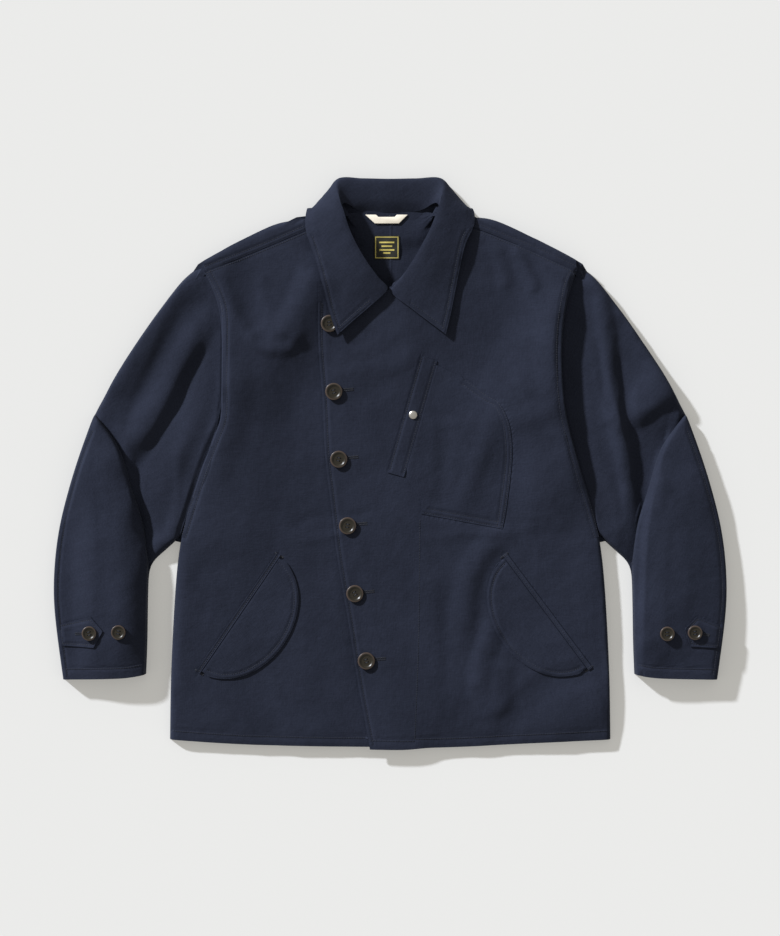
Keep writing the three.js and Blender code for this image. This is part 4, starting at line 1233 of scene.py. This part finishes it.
class JACKET_OT_buttons(bpy.types.Operator):
    """Makes the four-hole horn buttons, their thread and the snap cap"""

    bl_idname = "jacket.buttons"
    bl_label = "Buttons and snap"

    def execute(self, context):
        shape = stitch_shape()
        tree = top_of(pieces("cloth_", leave="_collar"))
        for kind, (radius, thick) in BUTTONS.items():
            blank = button_blank(radius, thick)
            for node in sorted(name for name in NODES if name.startswith(kind + "_button")):
                low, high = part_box(node)
                middle = seated(tree, low, high, radius * 0.6)
                turn = noise.noise(Vector((low[0] * 40, low[1] * 40, 1))) * 0.9
                button = new_piece("horn_" + node, blank.data.copy())
                move_mesh(button, middle, turn)
                settle(button, "horn_button", node)
                sew("thread_" + node, button_ties(middle, turn), 0.0007, shape)
            bpy.data.objects.remove(blank)
        make_snap(tree)
        return {"FINISHED"}


def button_ties(middle, turn):
    """The two double stitches that hold a button, from hole to hole."""
    reach = HOLE_OUT / 1.4
    ties = []
    for row in (-reach, reach):
        ends = [turned((x, row), turn) for x in (-reach, reach)]
        for off in (-0.0003, 0.0003):
            ties.append([middle + Vector((x, y + off, 0.0024)) for x, y in ends])
    return ties


def seated(tree, low, high, reach):
    """Where the middle of a round piece's underside comes to lie on the finished cloth."""
    x, y = (low[0] + high[0]) / 2, (low[1] + high[1]) / 2
    ring = [turned((reach, 0), k * math.pi / 4) for k in range(8)]
    hits = [on_top(tree, (x + out_x) / MM, (y + out_y) / MM + HEM_Y) for out_x, out_y in ring]
    return Vector((x, y, max(hit.z for hit in hits if hit is not None)))


def turned(xy, angle):
    """A plan vector turned by an angle."""
    c, s = math.cos(angle), math.sin(angle)
    return (xy[0] * c - xy[1] * s, xy[0] * s + xy[1] * c)


def move_mesh(obj, place_to, turn=0.0):
    """Turns a mesh about Z and moves it, with its object left at the origin."""
    places = points_of(obj)
    places[:, :2] = np.column_stack(turned(places[:, :2].T, turn))
    move_points(obj, places + np.array(place_to))


def select_faces(obj, wanted):
    """Selects the faces that a test of their middle and normal picks, in edit mode."""
    bpy.ops.mesh.select_mode(type="FACE")
    bpy.ops.mesh.select_all(action="DESELECT")
    bpy.ops.object.mode_set(mode="OBJECT")
    for face in obj.data.polygons:
        face.select = wanted(face.center, face.normal)
    bpy.ops.object.mode_set(mode="EDIT")


def button_blank(radius, thick):
    """A dished four-hole button standing on the origin."""
    bpy.ops.object.select_all(action="DESELECT")
    bpy.ops.mesh.primitive_cylinder_add(
        vertices=48, radius=radius, depth=thick, location=(0, 0, thick / 2), end_fill_type="NGON")
    blank = bpy.context.active_object
    bpy.ops.object.transform_apply(location=True)
    bpy.ops.object.mode_set(mode="EDIT")
    select_faces(blank, lambda c, n: n.z > 0.9)
    bpy.ops.mesh.inset(thickness=radius * 0.1)
    bpy.ops.transform.translate(value=(0, 0, thick * 0.1))
    bpy.ops.mesh.inset(thickness=radius * 0.14)
    bpy.ops.mesh.inset(thickness=radius * 0.14)
    bpy.ops.transform.translate(value=(0, 0, -thick * 0.42))
    select_faces(blank, lambda c, n: n.z < -0.9)
    bpy.ops.mesh.inset(thickness=radius * 0.2)
    bpy.ops.object.mode_set(mode="OBJECT")
    bevel_edges(blank, thick * 0.13, 3, 20)
    cut_holes(blank, thick)
    bpy.ops.object.shade_smooth_by_angle(angle=math.radians(32))
    places = points_of(blank)
    far = np.hypot(places[:, 0], places[:, 1]) / radius
    store_number(blank, "rim", smooth(0.80, 0.90, far))
    return blank


def cut_holes(blank, thick):
    """Cuts the four thread holes through a button."""
    holes = []
    for angle in (45, 135, 225, 315):
        at = (*turned((HOLE_OUT, 0), math.radians(angle)), thick / 2)
        bpy.ops.mesh.primitive_cylinder_add(vertices=16, radius=HOLE_RADIUS, depth=thick * 3, location=at)
        holes.append(bpy.context.active_object)
    bpy.ops.object.select_all(action="DESELECT")
    for hole in holes:
        hole.select_set(True)
    bpy.context.view_layer.objects.active = holes[0]
    bpy.ops.object.join()
    cutter = bpy.context.active_object
    cut = blank.modifiers.new("holes", "BOOLEAN")
    cut.object = cutter
    cut.operation = "DIFFERENCE"
    cut.solver = "EXACT"
    finish_modifier(blank, "holes")
    bpy.data.objects.remove(cutter)


def make_snap(tree):
    """The domed cap of the chest pocket's snap."""
    low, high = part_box("snap_cap")
    radius = (high[0] - low[0]) / 2
    bpy.ops.object.select_all(action="DESELECT")
    bpy.ops.mesh.primitive_cylinder_add(
        vertices=48, radius=radius, depth=0.0012, location=(0, 0, 0.0006), end_fill_type="NGON")
    cap = bpy.context.active_object
    bpy.ops.object.transform_apply(location=True)
    bpy.ops.object.mode_set(mode="EDIT")
    select_faces(cap, lambda c, n: n.z > 0.9)
    for inset, lift in SNAP_DOME:
        bpy.ops.mesh.inset(thickness=inset)
        bpy.ops.transform.translate(value=(0, 0, lift))
    bpy.ops.object.mode_set(mode="OBJECT")
    bevel_edges(cap, 0.0002, 2, 40)
    bpy.ops.object.shade_smooth_by_angle(angle=math.radians(40))
    cap.name = "steel_snap_cap"
    move_mesh(cap, seated(tree, low, high, radius * 0.6))
    settle(cap, "steel_snap", "snap_cap")


class JACKET_OT_neck(bpy.types.Operator):
    """Makes the hanger loop and the woven label inside the neck"""

    bl_idname = "jacket.neck"
    bl_label = "Loop and label"

    def execute(self, context):
        make_loop()
        make_label(top_of(pieces("cloth_back_", "ridge_centre_back")))
        return {"FINISHED"}


def make_loop():
    """A flat tape loop with its ends folded in."""
    low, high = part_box("hanger_loop")
    base = low[2] + float(lofted(low[2]))
    verts = [place(x, y, base) for x, y in LOOP_OUTLINE]
    loop = mesh_piece("tape_hanger_loop", verts, [tuple(range(len(verts)))])
    bpy.ops.object.mode_set(mode="EDIT")
    bpy.ops.mesh.select_all(action="SELECT")
    bpy.ops.mesh.extrude_region_move(TRANSFORM_OT_translate={"value": (0, 0, high[2] - low[2])})
    bpy.ops.object.mode_set(mode="OBJECT")
    turn_faces_out()
    bevel_edges(loop, 0.0005, 3)
    bpy.ops.object.shade_smooth_by_angle(angle=math.radians(40))
    settle(loop, "cream_tape", "hanger_loop")


def make_label(tree):
    """A thin woven label with a plain border and plain bars."""
    low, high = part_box("neck_label")
    bpy.ops.object.select_all(action="DESELECT")
    bpy.ops.mesh.primitive_grid_add(x_subdivisions=68, y_subdivisions=62, size=1)
    label = bpy.context.active_object
    label.name = "woven_neck_label"
    places = points_of(label)
    u, v = places[:, 0] + 0.5, places[:, 1] + 0.5
    width, length = high[0] - low[0], high[1] - low[1]
    x = low[0] + u * width
    y = low[1] + v * length
    bow = 0.0004 * np.sin(u * 9) * np.sin(v * 7)
    middle = (low[0] + high[0]) / 2 / MM
    foot, head = (on_top(tree, middle, end / MM + HEM_Y).z for end in (low[1], high[1]))
    z = foot + v * (head - foot) + 0.0009 + bow
    move_points(label, np.column_stack([x, y, z]))
    rim = np.minimum(np.minimum(u, 1 - u) * width, np.minimum(v, 1 - v) * length) / MM
    mark = (rim > 1.4) & (rim < 2.4)
    for at, left, right in LABEL_BARS:
        mark |= (np.abs(v - at) * length < 0.0011) & (u > left) & (u < right)
    store_number(label, "woven_mark", mark)
    wall = label.modifiers.new("wall", "SOLIDIFY")
    wall.thickness = 0.0006
    wall.offset = -1
    finish_modifier(label, "wall")
    bpy.ops.object.shade_smooth_by_angle(angle=math.radians(40))
    settle(label, "black_label", "neck_label")


class JACKET_OT_stage(bpy.types.Operator):
    """Sets the pale surface, the light and the camera"""

    bl_idname = "jacket.stage"
    bl_label = "Surface, light and camera"

    def execute(self, context):
        scene = context.scene
        look = scene.jacket_stage
        make_surface(look)
        make_sun(look)
        make_sky(scene, look)
        view = bpy.data.cameras.new("camera")
        view.lens = LENS
        view.sensor_width = SENSOR
        view.clip_end = 20
        scene.camera = new_piece("camera", view)
        scene.camera.location = CAMERA_AT
        scene.view_settings.view_transform = "Standard"
        return {"FINISHED"}


def make_surface(look):
    """The pale surface that the jacket lies on."""
    bpy.ops.object.select_all(action="DESELECT")
    bpy.ops.mesh.primitive_plane_add(size=12, location=(0, 0, -0.0004))
    surface = bpy.context.active_object
    surface.name = "pale_surface"
    bpy.ops.object.transform_apply(location=True)
    paper = Finish("pale_surface")
    surface.data.materials.append(paper.close({
        "Base Color": (0.43, 0.43, 0.43, 1), "Roughness": 1.0, "Specular IOR Level": 0.0,
        "Emission Color": (1, 0.985, 0.93, 1), "Emission Strength": look.glow}))


def make_sun(look):
    """The low light from the upper left that shows the folds."""
    light = bpy.data.lights.new("sun", "SUN")
    light.energy = look.sun
    light.color = (0.92, 0.95, 1.0)
    light.angle = SUN_WIDTH
    flat = math.cos(look.height)
    toward = Vector((SUN_FROM[0] * flat, SUN_FROM[1] * flat, math.sin(look.height)))
    new_piece("sun", light).rotation_euler = toward.to_track_quat("Z", "Y").to_euler()


def make_sky(scene, look):
    """The even light from all round."""
    world = bpy.data.worlds.new("even_light")
    world.use_nodes = True
    back = world.node_tree.nodes["Background"]
    back.inputs["Color"].default_value = (1, 0.97, 0.9, 1)
    back.inputs["Strength"].default_value = look.sky
    scene.world = world


class JACKET_PT_panel(bpy.types.Panel):
    """Lists the steps that dress the jacket"""

    bl_idname = "JACKET_PT_panel"
    bl_label = "Rider jacket"
    bl_space_type = "VIEW_3D"
    bl_region_type = "UI"
    bl_category = "Jacket"

    def draw(self, context):
        scene = context.scene
        for step in STEPS:
            self.layout.operator(step)
        for group in (scene.jacket_cloth, scene.jacket_trim, scene.jacket_sewing, scene.jacket_stage):
            for key in group.__annotations__:
                self.layout.prop(group, key)


STEPS = ["jacket.stage", "jacket.cloth", "jacket.sewing", "jacket.buttons", "jacket.neck"]
GROUPS = {"jacket_cloth": ClothLook, "jacket_trim": TrimLook, "jacket_sewing": SewingSize,
          "jacket_stage": StageLook}
CLASSES = [*GROUPS.values(), JACKET_OT_stage, JACKET_OT_cloth, JACKET_OT_sewing, JACKET_OT_buttons,
           JACKET_OT_neck, JACKET_PT_panel]


def register():
    """Registers the add-on's classes and settings."""
    for cls in CLASSES:
        bpy.utils.register_class(cls)
    for key, group in GROUPS.items():
        setattr(bpy.types.Scene, key, PointerProperty(type=group))


def unregister():
    """Takes the add-on's classes and settings away."""
    for key in GROUPS:
        delattr(bpy.types.Scene, key)
    for cls in reversed(CLASSES):
        bpy.utils.unregister_class(cls)


def main():
    """Registers the add-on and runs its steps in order."""
    register()
    bpy.ops.jacket.stage()
    bpy.ops.jacket.cloth()
    bpy.ops.jacket.sewing()
    bpy.ops.jacket.buttons()
    bpy.ops.jacket.neck()


if __name__ == "__main__":
    main()
